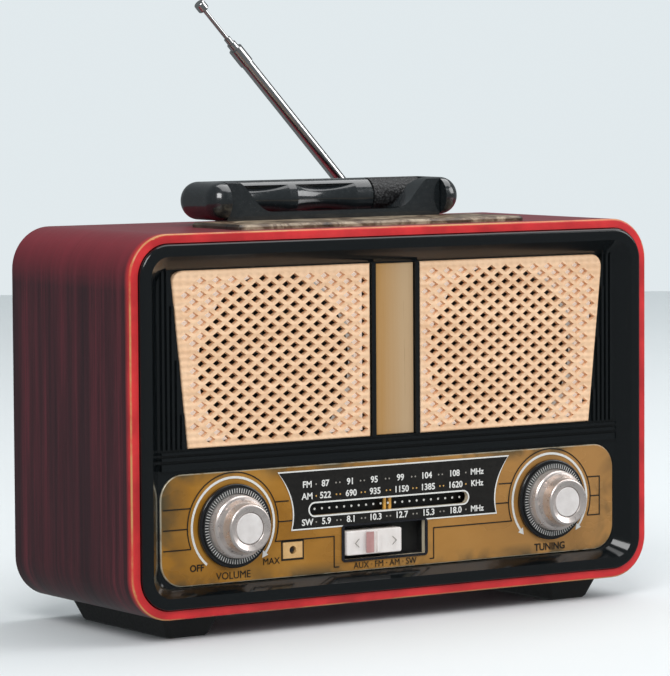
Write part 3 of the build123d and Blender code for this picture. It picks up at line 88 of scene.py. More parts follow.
# %% [markdown]
# A material is a small tree of nodes.  These helpers keep each recipe short: they add a node, join two
# sockets, make a ramp between colours, and give noise on the piece's own coordinates.

# %% Material helpers


class Recipe:
    """A material under construction, with Object coordinates at hand."""

    def __init__(self, name):
        self.material = bpy.data.materials.new(name)
        self.material.use_nodes = True
        self.tree = self.material.node_tree
        self.shader = self.tree.nodes["Principled BSDF"]
        self.place = self.tree.nodes.new("ShaderNodeTexCoord").outputs["Object"]

    def set(self, **values):
        for name, value in values.items():
            self.shader.inputs[name.replace("_", " ")].default_value = value

    def join(self, a, b):
        self.tree.links.new(a, b)

    def node(self, kind, **settings):
        made = self.tree.nodes.new(kind)
        for name, value in settings.items():
            setattr(made, name, value)
        return made

    def stretched(self, scale, location=(0, 0, 0)):
        mapping = self.node("ShaderNodeMapping")
        mapping.inputs["Scale"].default_value = scale
        mapping.inputs["Location"].default_value = location
        self.join(self.place, mapping.inputs["Vector"])
        return mapping.outputs["Vector"]

    def noise(self, scale, detail=4.0, roughness=0.55, stretch=(1, 1, 1), distortion=0.0):
        noise = self.node("ShaderNodeTexNoise")
        noise.inputs["Scale"].default_value = scale
        noise.inputs["Detail"].default_value = detail
        noise.inputs["Roughness"].default_value = roughness
        noise.inputs["Distortion"].default_value = distortion
        self.join(self.stretched(stretch), noise.inputs["Vector"])
        return noise.outputs["Fac"]

    def ramp(self, factor, *stops):
        ramp = self.node("ShaderNodeValToRGB")
        ramp.color_ramp.elements[0].position = stops[0][0]
        ramp.color_ramp.elements[0].color = (*stops[0][1], 1)
        ramp.color_ramp.elements[1].position = stops[-1][0]
        ramp.color_ramp.elements[1].color = (*stops[-1][1], 1)
        for position, colour in stops[1:-1]:
            ramp.color_ramp.elements.new(position).color = (*colour, 1)
        self.join(factor, ramp.inputs["Fac"])
        return ramp.outputs["Color"]

    def span(self, value, low, high, out_low=0.0, out_high=1.0):
        span = self.node("ShaderNodeMapRange")
        span.inputs["From Min"].default_value = low
        span.inputs["From Max"].default_value = high
        span.inputs["To Min"].default_value = out_low
        span.inputs["To Max"].default_value = out_high
        self.join(value, span.inputs["Value"])
        return span.outputs["Result"]

    def axis(self, letter):
        split = self.node("ShaderNodeSeparateXYZ")
        self.join(self.place, split.inputs["Vector"])
        return split.outputs[letter]

    def maths(self, operation, a, b=None):
        maths = self.node("ShaderNodeMath", operation=operation)
        for socket, value in zip(maths.inputs, (a, b)):
            if value is None:
                continue
            if isinstance(value, (int, float)):
                socket.default_value = value
            else:
                self.join(value, socket)
        return maths.outputs["Value"]

    def mix(self, factor, a, b, blend="MIX"):
        mix = self.node("ShaderNodeMix", data_type="RGBA", blend_type=blend)
        for socket, value in ((mix.inputs[0], factor), (mix.inputs[6], a), (mix.inputs[7], b)):
            if isinstance(value, (int, float)):
                socket.default_value = value
            elif isinstance(value, tuple):
                socket.default_value = (*value, 1)
            else:
                self.join(value, socket)
        return mix.outputs[2]

    def colour(self, socket):
        self.join(socket, self.shader.inputs["Base Color"])

    def roughness(self, socket):
        self.join(socket, self.shader.inputs["Roughness"])

    def bump(self, height, distance, strength=1.0):
        bump = self.node("ShaderNodeBump")
        bump.inputs["Strength"].default_value = strength
        bump.inputs["Distance"].default_value = distance
        self.join(height, bump.inputs["Height"])
        self.join(bump.outputs["Normal"], self.shader.inputs["Normal"])


def plain(name, dark, light, rough=(0.3, 0.5), scale=400.0, metallic=0.0, bump_mm=0.02, coat=0.0,
          stretch=(1, 1, 1)):
    """A finish with colour, gloss and a fine grain that all vary a little."""
    recipe = Recipe(name)
    recipe.set(Metallic=metallic, Coat_Weight=coat)
    fine = recipe.noise(scale, 5.0, stretch=stretch)
    broad = recipe.noise(scale / 14, 3.0)
    recipe.colour(recipe.mix(broad, recipe.ramp(fine, (0.3, dark), (0.7, light)), dark))
    recipe.roughness(recipe.span(fine, 0.3, 0.7, *rough))
    recipe.bump(fine, bump_mm * MM)
    return recipe.material


def dress(material, *nodes):
    for name in nodes:
        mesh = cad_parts[name].data
        mesh.materials.clear()
        mesh.materials.append(material)


# %% [markdown]
# The sleeve is board wrapped in printed film.  Its grain runs up the sides and over the top, so the noise is
# stretched along the wrap and quick in depth.  The front edge is a brighter red, worn to tan at its corner.

# %% Sleeve finish
wrap = Recipe("sleeve_wrap")
depth = wrap.axis("Y")
grain = wrap.noise(7.0, 6.0, 0.6, stretch=(0.5, 26.0, 0.5), distortion=0.25)
pores = wrap.noise(30.0, 5.0, 0.7, stretch=(0.6, 36.0, 0.6))
deep = wrap.ramp(grain, (0.30, (0.022, 0.008, 0.012)), (0.48, (0.060, 0.012, 0.018)),
                 (0.66, (0.125, 0.017, 0.027)))
grained = wrap.mix(wrap.span(pores, 0.38, 0.56, 0.65, 0.0), deep, (0.022, 0.004, 0.008))
height = wrap.axis("Z")
crown = wrap.span(height, shell_high[2] - 0.022, shell_high[2] - 0.004)
crimson = wrap.mix(wrap.maths("MULTIPLY", crown, 0.7), grained, (0.27, 0.022, 0.036))
band = wrap.span(depth, front_y + 0.0042, front_y + 0.0008)
red = wrap.ramp(wrap.noise(60.0), (0.35, (0.46, 0.016, 0.020)), (0.65, (0.68, 0.028, 0.032)))
edged = wrap.mix(band, crimson, red)
facing = wrap.node("ShaderNodeSeparateXYZ")
wrap.join(wrap.tree.nodes["Texture Coordinate"].outputs["Normal"], facing.inputs["Vector"])
lip = wrap.maths("MULTIPLY", wrap.span(facing.outputs["Y"], -0.10, -0.40),
                 wrap.span(facing.outputs["Y"], -0.97, -0.80))
near = wrap.span(depth, front_y + 0.0014, front_y + 0.0010)
patchy = wrap.span(wrap.noise(34.0, 5.0, 0.7), 0.36, 0.56)
worn = wrap.maths("MULTIPLY", wrap.maths("MULTIPLY", lip, near), patchy)
wrap.colour(wrap.mix(worn, edged, (0.56, 0.27, 0.10)))
wrap.roughness(wrap.span(pores, 0.3, 0.7, 0.30, 0.46))
wrap.set(Coat_Weight=0.2, Coat_Roughness=0.2, Specular_IOR_Level=0.35)
wrap.bump(pores, 0.03 * MM, 0.5)
dress(wrap.material, "cabinet_shell")
print("sleeve finished")

# %% [markdown]
# The black front is moulded gloss plastic.  It is nearly black, with faint haze, fine dust and hairline
# scratches, which a slightly uneven roughness shows in its reflections.

# %% Black plastics
gloss = Recipe("black_gloss")
haze = gloss.noise(28.0, 4.0)
dust = gloss.noise(2200.0, 2.0)
specks = gloss.span(dust, 0.70, 0.78)
gloss.colour(gloss.mix(gloss.maths("MULTIPLY", specks, 0.35), (0.0045, 0.0058, 0.0066), (0.12, 0.12, 0.115)))
gloss.roughness(gloss.span(haze, 0.3, 0.7, 0.08, 0.17))
gloss.set(Coat_Weight=0.25, Coat_Roughness=0.05, Specular_IOR_Level=0.4)
gloss.bump(gloss.noise(90.0), 0.02 * MM, 0.4)
dress(gloss.material, "front_bezel")
dress(plain("knob_black", (0.007, 0.007, 0.008), (0.014, 0.014, 0.015), (0.12, 0.24), 300.0, coat=0.3),
      "volume_knob_skirt", "tuning_knob_skirt")
dress(plain("handle_black", (0.009, 0.012, 0.014), (0.021, 0.026, 0.029),
            (0.16, 0.28), 700.0, bump_mm=0.008, coat=1.0),
      "handle_base", "handle_arms", "handle_grip")
stipple = Recipe("sleeve_textured")
dots = stipple.node("ShaderNodeTexVoronoi")
dots.inputs["Scale"].default_value = 850.0
stipple.join(stipple.place, dots.inputs["Vector"])
stipple.colour(stipple.ramp(dots.outputs["Distance"], (0.0, (0.045, 0.046, 0.048)),
                            (0.6, (0.006, 0.006, 0.007))))
stipple.set(Roughness=0.5)
stipple.bump(stipple.maths("SUBTRACT", 1.0, dots.outputs["Distance"]), 0.4 * MM)
dress(stipple.material, "handle_sleeve")
dress(plain("foot_rubber", (0.008, 0.008, 0.008), (0.022, 0.021, 0.020),
            (0.55, 0.75), 900.0, bump_mm=0.05), "feet")
dress(plain("rear_black", (0.008, 0.008, 0.009), (0.020, 0.020, 0.021), (0.45, 0.60), 1800.0, bump_mm=0.06),
      "rear_panel", "battery_door")
dress(plain("part_black", (0.010, 0.010, 0.010), (0.022, 0.022, 0.022), (0.4, 0.6), 500.0),
      "switch_tray", "drive_posts", "ferrite_cradles")
dress(plain("scale_black", (0.004, 0.004, 0.004), (0.012, 0.012, 0.012), (0.35, 0.5), 300.0), "dial_backing")

# %% [markdown]
# The grilles look woven: each strand between the holes rises and dips.  A cross of two diagonal waves gives
# that relief, and the peach colour is painted a little browner in the hollows, as painted shade.  The felt
# behind the holes has a faint glow of its own, only so that the holes look pale here.  In other light it would
# show as a glow.

# %% Grilles
weave = Recipe("grille_cream")
PITCH_X = 7.2 * MM
PITCH_Z = 5.4 * MM
gx = weave.maths("MULTIPLY", weave.axis("X"), 2 * math.pi / PITCH_X)
gz = weave.maths("MULTIPLY", weave.axis("Z"), 2 * math.pi / PITCH_Z)
one_way = weave.maths("SINE", weave.maths("ADD", gx, gz))
other_way = weave.maths("SINE", weave.maths("SUBTRACT", gx, gz))
relief = weave.maths("MULTIPLY", one_way, other_way)
soil = weave.noise(60.0, 5.0, stretch=(0.5, 1, 6.0))
cream = weave.ramp(soil, (0.30, (0.78, 0.475, 0.275)), (0.60, (0.90, 0.595, 0.375)))
# painted shade: the peach is mixed browner where the weave dips
weave.colour(weave.mix(weave.span(relief, -1.0, 0.2, 0.35, 0.0), cream, (0.62, 0.38, 0.22)))
weave.roughness(weave.span(soil, 0.3, 0.7, 0.42, 0.55))
weave.bump(weave.maths("ADD", relief, weave.noise(900.0)), 0.35 * MM, 0.6)
dress(weave.material, "grille_left", "grille_right")
GLOW_STRENGTH = 0.30
felt = plain("baffle_felt", (0.82, 0.78, 0.72), (0.94, 0.92, 0.88), (0.85, 0.95), 1500.0, bump_mm=0.15)
glow = felt.node_tree.nodes["Principled BSDF"].inputs
glow["Emission Color"].default_value = (1.0, 0.95, 0.88, 1)
glow["Emission Strength"].default_value = GLOW_STRENGTH
dress(felt, "speaker_baffles")
dress(plain("cone_paper", (0.010, 0.010, 0.011), (0.028, 0.027, 0.027),
            (0.6, 0.8), 900.0, bump_mm=0.08), "speaker_cones")
dress(plain("speaker_steel", (0.012, 0.012, 0.012), (0.03, 0.03, 0.03),
            (0.4, 0.55), 400.0), "speaker_baskets")
dress(plain("cap_gloss", (0.010, 0.010, 0.010), (0.02, 0.02, 0.02),
            (0.10, 0.22), 300.0, coat=0.5), "speaker_dust_caps")

# %% [markdown]
# The dial plate is a gold print under clear plastic, aged to a mottled amber.  It is paler to the right, with
# painted dark green shade near its rim and corners, in patches, where the moulding above shades it.
# The strip between the grilles is the same gold, fading towards beige.

# %% Gold plates
gold = Recipe("dial_gold")
across = gold.axis("X")
up = gold.axis("Z")
mottle = gold.noise(22.0, 4.0, 0.55, stretch=(1, 1, 1.6), distortion=0.4)
amber = gold.ramp(mottle, (0.30, (0.25, 0.105, 0.010)), (0.50, (0.37, 0.165, 0.018)),
                  (0.70, (0.46, 0.225, 0.040)))
pale = gold.span(across, -0.06, 0.10, 0.0, 0.75)
amber_paler_right = gold.mix(pale, amber, (0.46, 0.240, 0.085))
from_side = gold.maths("ABSOLUTE", across)
from_middle = gold.maths("ABSOLUTE", gold.maths("SUBTRACT", up, (plate_z0 + plate_high[2]) / 2))
# painted shade: dark green near the plate's rim and corners, broken into patches by noise
rim_x = gold.span(from_side, plate_high[0] - 0.014, plate_high[0] - 0.001)
rim_z = gold.span(from_middle, 0.0165, 0.0220)
rim = gold.maths("MAXIMUM", rim_x, rim_z)
rim_shade_patches = gold.span(gold.noise(46.0, 3.0, 0.6, distortion=0.5), 0.43, 0.60)
dark = gold.maths("MULTIPLY", rim, rim_shade_patches)
rim_shaded = gold.mix(gold.maths("MULTIPLY", dark, 0.85), amber_paler_right, (0.045, 0.048, 0.030))
spots = gold.span(gold.noise(30.0, 2.0, 0.5), 0.68, 0.76, 0.0, 0.55)
rim_shaded = gold.mix(spots, rim_shaded, (0.10, 0.085, 0.045))
tilt = gold.node("ShaderNodeSeparateXYZ")
gold.join(gold.tree.nodes["Texture Coordinate"].outputs["Normal"], tilt.inputs["Vector"])
# the bevelled edge is painted pale: partly the clear, unprinted edge, partly a painted highlight
bevel_clear_and_highlight = gold.span(tilt.outputs["Y"], -0.97, -0.75)
broken = gold.span(gold.noise(160.0, 3.0), 0.36, 0.52, 0.25, 0.9)
gold.colour(gold.mix(gold.maths("MULTIPLY", bevel_clear_and_highlight, broken), rim_shaded, (0.66, 0.60, 0.46)))
gold.roughness(gold.span(mottle, 0.3, 0.7, 0.22, 0.38))
gold.set(Metallic=0.1, Coat_Weight=0.35, Coat_Roughness=0.07, Specular_IOR_Level=0.3)
gold.bump(gold.noise(300.0), 0.02 * MM, 0.4)
dress(gold.material, "dial_plate")
strip = Recipe("strip_gold")
fade = strip.span(strip.axis("X"), -0.0095, 0.004)
brushed = strip.noise(300.0, 5.0, stretch=(4.0, 1.0, 0.05))
base = strip.mix(fade, (0.44, 0.215, 0.045), (0.50, 0.335, 0.185))
strip.colour(strip.mix(strip.span(brushed, 0.3, 0.7, 0.0, 0.16), base, (0.58, 0.42, 0.26)))
strip.roughness(strip.span(brushed, 0.3, 0.7, 0.25, 0.42))
strip.set(Metallic=0.12)
strip.bump(brushed, 0.01 * MM, 0.4)
dress(strip.material, "centre_strip")

# %% [markdown]
# Bright metals: the knobs are warm satin chrome, the aerial is polished, screws and sockets are plated steel.

# %% Metals
dress(plain("knob_silver", (0.76, 0.675, 0.635), (0.92, 0.84, 0.80),
            (0.25, 0.36), 500.0, metallic=0.75, bump_mm=0.008),
      "volume_knob_cap", "tuning_knob_cap")
dress(plain("inlay_silver", (0.66, 0.615, 0.595), (0.90, 0.86, 0.84),
            (0.34, 0.50), 260.0, metallic=0.1, bump_mm=0.02),
      "volume_knob_inlay", "tuning_knob_inlay")
dress(plain("ring_silver", (0.018, 0.019, 0.020), (0.036, 0.037, 0.038), (0.3, 0.4), 500.0, metallic=0.2),
      "volume_knob_ring", "tuning_knob_ring")
dress(plain("aerial_chrome", (0.56, 0.56, 0.56), (0.74, 0.74, 0.74),
            (0.12, 0.22), 600.0, metallic=1.0, bump_mm=0.006),
      "aerial_swivel", "aerial_hardware", "aerial_tube", "aerial_section_2", "aerial_section_3", "aerial_rod")
dress(plain("plated_steel", (0.42, 0.42, 0.41), (0.62, 0.61, 0.60), (0.22, 0.38), 700.0, metallic=1.0),
      "volume_shaft", "tuning_shaft", "handle_pins", "inner_screws", "rear_screws", "rear_sockets",
      "battery_contacts", "speaker_magnets", "switch_body", "volume_control")

# %% [markdown]
# The small pieces each have their own plastic, and the top plate is an aged brown print with a dark edge.

# %% Small pieces
dress(plain("slider_white", (0.74, 0.68, 0.65), (0.86, 0.81, 0.78),
            (0.28, 0.42), 300.0, coat=0.2), "band_slider")
dress(plain("indicator_beige", (0.58, 0.34, 0.13), (0.72, 0.47, 0.21), (0.4, 0.55), 500.0), "indicator_frame")
dress(plain("led_clear", (0.010, 0.008, 0.008), (0.026, 0.018, 0.016),
            (0.1, 0.2), 500.0, coat=0.6), "indicator_led")
dress(plain("pointer_amber", (0.72, 0.36, 0.06), (0.95, 0.58, 0.14), (0.2, 0.3), 500.0), "dial_pointer")
dress(plain("drum_white", (0.50, 0.50, 0.46), (0.66, 0.66, 0.62), (0.4, 0.5), 500.0),
      "dial_drum", "cord_idler", "tuning_capacitor")
dress(plain("cord_fibre", (0.36, 0.28, 0.15), (0.62, 0.52, 0.33), (0.8, 0.9), 2500.0), "dial_cord")
dress(plain("board_brown", (0.12, 0.055, 0.018), (0.20, 0.10, 0.04),
            (0.45, 0.6), 400.0), "main_board", "socket_board")
dress(plain("component_mix", (0.02, 0.025, 0.045), (0.06, 0.07, 0.11), (0.3, 0.5), 300.0), "board_components")
dress(plain("ferrite_grey", (0.03, 0.03, 0.032), (0.07, 0.07, 0.075), (0.6, 0.8), 700.0), "ferrite_rod")
dress(plain("copper_coil", (0.30, 0.11, 0.03), (0.60, 0.27, 0.10),
            (0.3, 0.45), 900.0, metallic=0.8, stretch=(6, 0.2, 0.2)),
      "ferrite_coil")
dress(plain("battery_wrap", (0.02, 0.09, 0.20), (0.04, 0.14, 0.28), (0.2, 0.3), 300.0), "battery")
aged_plate = Recipe("top_plate_aged")
blotch = aged_plate.noise(70.0, 7.0, 0.7, distortion=1.2)
tone = aged_plate.ramp(blotch, (0.32, (0.020, 0.013, 0.010)), (0.47, (0.13, 0.080, 0.045)),
                       (0.60, (0.40, 0.32, 0.22)))
plate_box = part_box("top_plate")
plate_end = plate_box[1][0]
from_centre = aged_plate.maths("ABSOLUTE", aged_plate.axis("X"))
edge_x = aged_plate.span(from_centre, plate_end - 0.004, plate_end - 0.001)
aged_plate.colour(aged_plate.mix(aged_plate.maths("MULTIPLY", edge_x, 0.8), tone, (0.012, 0.010, 0.009)))
aged_plate.roughness(aged_plate.span(blotch, 0.3, 0.7, 0.25, 0.45))
aged_plate.bump(blotch, 0.03 * MM, 0.5)
dress(aged_plate.material, "top_plate")

# %% [markdown]
# Printing is thin but real: each mark is a flat sheet, mostly a tenth of a millimetre thick, so that it has
# its own mesh and its own paint.  A helper draws an outline, with holes, as a flat curve, makes it a mesh, and
# stands it up on the plate's front.

# %% Printing helpers
ink_black = plain("ink_black", (0.006, 0.005, 0.004), (0.016, 0.013, 0.010), (0.35, 0.5), 800.0,
                  bump_mm=0.004)
ink_white = plain("ink_white", (0.66, 0.65, 0.62), (0.86, 0.85, 0.82), (0.35, 0.5), 800.0, bump_mm=0.004)
ink_amber = plain("ink_amber", (0.50, 0.28, 0.07), (0.66, 0.40, 0.12), (0.35, 0.5), 800.0, bump_mm=0.004)
ink_grey = plain("ink_grey", (0.24, 0.22, 0.19), (0.36, 0.34, 0.30), (0.35, 0.5), 800.0, bump_mm=0.004)
stand_up = Matrix.Rotation(math.radians(90), 4, "X")


def finish_print(piece, name, material, body, lift):
    """Stands a flat piece up at the plate's front, welds it, and lets it ride."""
    piece.name = name
    piece.data.transform(Matrix.Translation((0, plate_front - lift * MM, 0)) @ stand_up)
    pick(piece)
    bpy.ops.object.mode_set(mode="EDIT")
    bpy.ops.mesh.select_all(action="SELECT")
    bpy.ops.mesh.remove_doubles(threshold=0.000001)
    bpy.ops.mesh.normals_make_consistent(inside=False)
    bpy.ops.object.mode_set(mode="OBJECT")
    piece.data.materials.clear()
    piece.data.materials.append(material)
    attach(piece, body)
    return piece


def flat_piece(name, outlines, material, body="cabinet", lift=0.13, thick=0.1):
    """A flat sheet from closed outlines in millimetres (x, z); an outline inside another is a hole."""
    curve = bpy.data.curves.new(name, "CURVE")
    curve.dimensions = "2D"
    curve.fill_mode = "BOTH"
    curve.extrude = thick / 2 * MM
    for outline in outlines:
        spline = curve.splines.new("POLY")
        spline.points.add(len(outline) - 1)
        for point, (x, z) in zip(spline.points, outline):
            point.co = (x * MM, z * MM, 0, 1)
        spline.use_cyclic_u = True
    piece = bpy.data.objects.new(name, curve)
    bpy.context.collection.objects.link(piece)
    pick(piece)
    bpy.ops.object.convert(target="MESH")
    return finish_print(bpy.context.object, name, material, body, lift)


def lettering(name, text, x, z, size, material, lift=0.13, bold=0.075):
    """One word or number, centred at x, z in millimetres."""
    clear_selection()
    bpy.ops.object.text_add()
    piece = bpy.context.object
    piece.data.body = text
    piece.data.size = size * MM
    piece.data.align_x = "CENTER"
    piece.data.align_y = "CENTER"
    piece.data.extrude = 0.05 * MM
    piece.data.offset = bold * MM
    piece.data.resolution_u = 3
    bpy.ops.object.convert(target="MESH")
    piece = bpy.context.object
    piece.data.transform(Matrix.Translation((x * MM, z * MM, 0)))
    return finish_print(piece, name, material, "cabinet", lift)


def arc(x, z, radius, start, end, steps=40):
    """Points along an arc; angles in degrees, clockwise from the top."""
    turns = [math.radians(start + (end - start) * i / steps) for i in range(steps + 1)]
    return [(x + radius * math.sin(a), z + radius * math.cos(a)) for a in turns]


def arc_band(x, z, radius, width, start, end):
    return arc(x, z, radius + width / 2, start, end) + arc(x, z, radius - width / 2, end, start)


def bar(x0, z0, x1, z1, width):
    """A straight line of some width, as four corners."""
    length = math.hypot(x1 - x0, z1 - z0)
    nx = -(z1 - z0) / length * width / 2
    nz = (x1 - x0) / length * width / 2
    return [(x0 + nx, z0 + nz), (x1 + nx, z1 + nz), (x1 - nx, z1 - nz), (x0 - nx, z0 - nz)]


def slot_outline(x0, x1, z, tall, steps=12):
    """A slot with round ends."""
    radius = tall / 2
    return arc(x1 - radius, z, radius, 0, 180, steps) + arc(x0 + radius, z, radius, 180, 360, steps)


# %% [markdown]
# The dial's window is a black panel whose sides curve in like a waist, with a white outline, and it leaves
# the pointer's slot open.  Its numbers are the usual wave bands.

# %% Dial window
CENTRE_Z = base_z / MM


def window_outline(inset):
    """The window's edge, drawn in by an inset: straight top and bottom, hollow sides."""
    top = CENTRE_Z + 54.3 - inset
    low = CENTRE_Z + 30.6 + inset
    right = []
    for i in range(13):
        t = i / 12
        z = top + (low - top) * t
        x = (1 - t) ** 2 * 56.4 + 2 * t * (1 - t) * 46.9 + t ** 2 * 50.2 - inset
        right.append((x, z))
    return right + [(-x, z) for x, z in reversed(right)]


SLOT_Z = CENTRE_Z + 38.4
slot_hole = slot_outline(-41.4, 35.7, SLOT_Z, 4.9)
flat_piece("window_rim", [window_outline(0), window_outline(0.55)], ink_white, lift=0.17)
panel = [window_outline(0.5), slot_outline(-41.9, 36.2, SLOT_Z, 5.9)]
flat_piece("window_panel", panel, ink_black, lift=0.13)
flat_piece("slot_rim", [slot_outline(-42.0, 36.3, SLOT_Z, 6.1), slot_hole], ink_white, lift=0.18)
backing_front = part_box("dial_backing")[0][1]
spots = [arc(36.4 - i * 3.53, SLOT_Z, 0.47, 0, 345, 15) for i in range(22)]
row = flat_piece("slot_dots", spots, ink_white, lift=0.0, thick=0.1)
row.data.transform(Matrix.Translation((0, backing_front - plate_front - 0.04 * MM, 0)))

FM = (("87", -33.9), ("91", -21.9), ("95", -10.4), ("99", 2.3), ("104", 15.1), ("108", 28.9))
AM = (("522", -33.9), ("690", -21.6), ("935", -10.0), ("1150", 2.8), ("1385", 15.8), ("1620", 29.4))
SW = (("5.9", -33.5), ("8.1", -21.6), ("10.3", -9.9), ("12.7", 2.8), ("15.3", 16.0), ("18.0", 29.4))
for label, unit, z, marks in (("FM", "MHz", 48.5, FM), ("AM", "KHz", 43.8, AM), ("SW", "MHz", 33.4, SW)):
    lettering(f"dial_{label}", label, -42.5, CENTRE_Z + z, 3.6, ink_white, lift=0.21)
    lettering(f"dial_{label}_unit", unit, 40.2, CENTRE_Z + z, 3.4, ink_white, lift=0.21)
    for number, x in marks:
        piece_name = f"dial_{label}_{number.replace('.', '_')}"
        lettering(piece_name, number, x, CENTRE_Z + z, 3.6, ink_white, lift=0.21)
    places = [x for _, x in marks]
    dots = [arc(x, CENTRE_Z + z, 0.36, 0, 330, 8) for x in (-38.3, 34.6)]
    for a, b in zip(places, places[1:]):
        middle = (a + b) / 2
        dots.append(arc(middle - 0.9, CENTRE_Z + z, 0.36, 0, 330, 8))
        dots.append(arc(middle + 0.9, CENTRE_Z + z, 0.36, 0, 330, 8))
    flat_piece(f"dial_{label}_dots", dots, ink_amber if label == "AM" else ink_grey, lift=0.21)
print("dial window printed")

# %% [markdown]
# Round each knob runs a thick white arc with arrowheads and a thin black one.  Fine black lines tie the arcs
# to the window and run out to the plate's sides.

# %% Arcs, lines and words
KX = knob_x / MM
KZ = knob_z / MM


def arrow(x, z, radius, angle, turn):
    """An arrowhead on an arc; turn is +1 for clockwise."""
    a = math.radians(angle)
    px, pz = x + radius * math.sin(a), z + radius * math.cos(a)
    tx, tz = turn * math.cos(a), -turn * math.sin(a)
    nx, nz = math.sin(a), math.cos(a)
    return [(px + tx * 2.6, pz + tz * 2.6), (px + nx * 1.5, pz + nz * 1.5), (px - nx * 1.5, pz - nz * 1.5)]


flat_piece("volume_arc", [arc_band(-KX, KZ, 19.0, 0.95, -140, 128)], ink_white)
flat_piece("volume_arrow", [arrow(-KX, KZ, 19.0, 128, 1)], ink_white)
flat_piece("tuning_arc", [arc_band(KX, KZ, 19.0, 0.95, -128, 128)], ink_white)
flat_piece("tuning_arrows", [arrow(KX, KZ, 19.0, 128, 1), arrow(KX, KZ, 19.0, -128, -1)], ink_white)
flat_piece("volume_ring_line", [arc_band(-KX, KZ, 21.0, 0.45, -112, 112)], ink_black)
flat_piece("tuning_ring_line", [arc_band(KX, KZ, 21.0, 0.45, -112, 112)], ink_black)
LINE_W = 0.45                   # printed line, in millimetres
RING_R = 21.0
lines = []
for side in (-1, 1):
    for dz in (-8, 0, 8):
        start = KX + math.sqrt(RING_R ** 2 - dz ** 2)
        lines.append(bar(side * start, KZ + dz, side * (109.3 if side < 0 else 103.0), KZ + dz, LINE_W))
    for dz, reach in ((8, 51.2), (0, 49.6)):
        start = KX - math.sqrt(RING_R ** 2 - dz ** 2)
        lines.append(bar(side * start, KZ + dz, side * reach, KZ + dz, LINE_W))
lines.append(bar(103.0, KZ - 8.2, 103.0, KZ + 8.2, LINE_W))
lines.append(bar(-57.8, CENTRE_Z + 27.0, -29.8, CENTRE_Z + 27.0, LINE_W))
lines.append(bar(-29.8, CENTRE_Z + 27.2, -29.8, CENTRE_Z + 14.5, LINE_W))
lines.append(bar(-29.8, CENTRE_Z + 14.6, -27.4, CENTRE_Z + 14.6, LINE_W))
lines.append(bar(57.8, CENTRE_Z + 27.0, 18.6, CENTRE_Z + 27.0, LINE_W))
lines.append(bar(18.6, CENTRE_Z + 27.2, 18.6, CENTRE_Z + 14.5, LINE_W))
lines.append(bar(18.6, CENTRE_Z + 14.6, 16.6, CENTRE_Z + 14.6, LINE_W))
for i, line in enumerate(lines):
    flat_piece(f"plate_line_{i + 1}", [line], ink_black)
lamp_low, lamp_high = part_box("indicator_led")
lamp_x = (lamp_low[0] + lamp_high[0]) / 2 / MM
lamp_z = (lamp_low[2] + lamp_high[2]) / 2 / MM
outline = [[(lamp_x + sx * half_w, lamp_z + sz * half_h) for sx, sz in ((-1, -1), (1, -1), (1, 1), (-1, 1))]
           for half_w, half_h in ((5.3, 4.0), (4.75, 3.45))]
flat_piece("indicator_outline", outline, ink_black)
lettering("word_off", "OFF", -94.0, CENTRE_Z + 19.0, 3.7, ink_black)
lettering("word_volume", "VOLUME", -77.2, CENTRE_Z + 15.0, 4.1, ink_black, bold=0.0)
lettering("word_max", "MAX", -59.6, CENTRE_Z + 19.2, 3.7, ink_black, bold=0.0)
lettering("word_tuning", "TUNING", 77.2, CENTRE_Z + 15.0, 4.1, ink_black)
lettering("word_bands", "AUX · FM · AM · SW", -5.2, CENTRE_Z + 14.4, 3.5, ink_black, bold=0.0)

# %% [markdown]
# Eighty pale ticks stand on each knob's dark ring.  One tick is modelled, and the rest are copies
# turned round the knob's axis and joined into one mesh, so that they turn with the knob.

# %% Knob ticks
TICKS = 80
TICK_RADIUS = 13.95             # to the middle of a tick, in millimetres
tick_paint = plain("tick_white", (0.56, 0.55, 0.53), (0.78, 0.77, 0.75), (0.3, 0.45), 600.0, bump_mm=0.004)
for side, name in ((-1, "volume"), (1, "tuning")):
    ring_low, ring_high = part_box(f"{name}_knob_ring")
    clear_selection()
    bpy.ops.mesh.primitive_cube_add(size=1, location=(0, 0, 0))
    tick = bpy.context.object
    tick_size = Matrix.Diagonal((0.30 * MM, 0.16 * MM, 1.9 * MM, 1))
    tick.data.transform(Matrix.Translation((0, 0, TICK_RADIUS * MM)) @ tick_size)
    pick(tick)
    bpy.ops.object.mode_set(mode="EDIT")
    bpy.ops.mesh.select_all(action="SELECT")
    bpy.ops.mesh.bevel(offset=0.05 * MM, segments=1)
    bpy.ops.object.mode_set(mode="OBJECT")
    ticks = [tick]
    for i in range(1, TICKS):
        copy = tick.copy()
        copy.data = tick.data.copy()
        copy.data.transform(Matrix.Rotation(2 * math.pi * i / TICKS, 4, "Y"))
        bpy.context.collection.objects.link(copy)
        ticks.append(copy)
    clear_selection()
    for piece in ticks:
        piece.select_set(True)
    bpy.context.view_layer.objects.active = tick
    bpy.ops.object.join()
    ring = bpy.context.object
    ring.name = f"{name}_ticks"
    ring.data.transform(Matrix.Translation((side * knob_x, ring_low[1] - 0.04 * MM, knob_z)))
    ring.data.materials.clear()
    ring.data.materials.append(tick_paint)
    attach(ring, f"{name}_knob")
print("ticks made")

# %% [markdown]
# The slider carries two small open arrows in grey and a worn pink band beside its ridges, and a black lip
# runs round its recess.

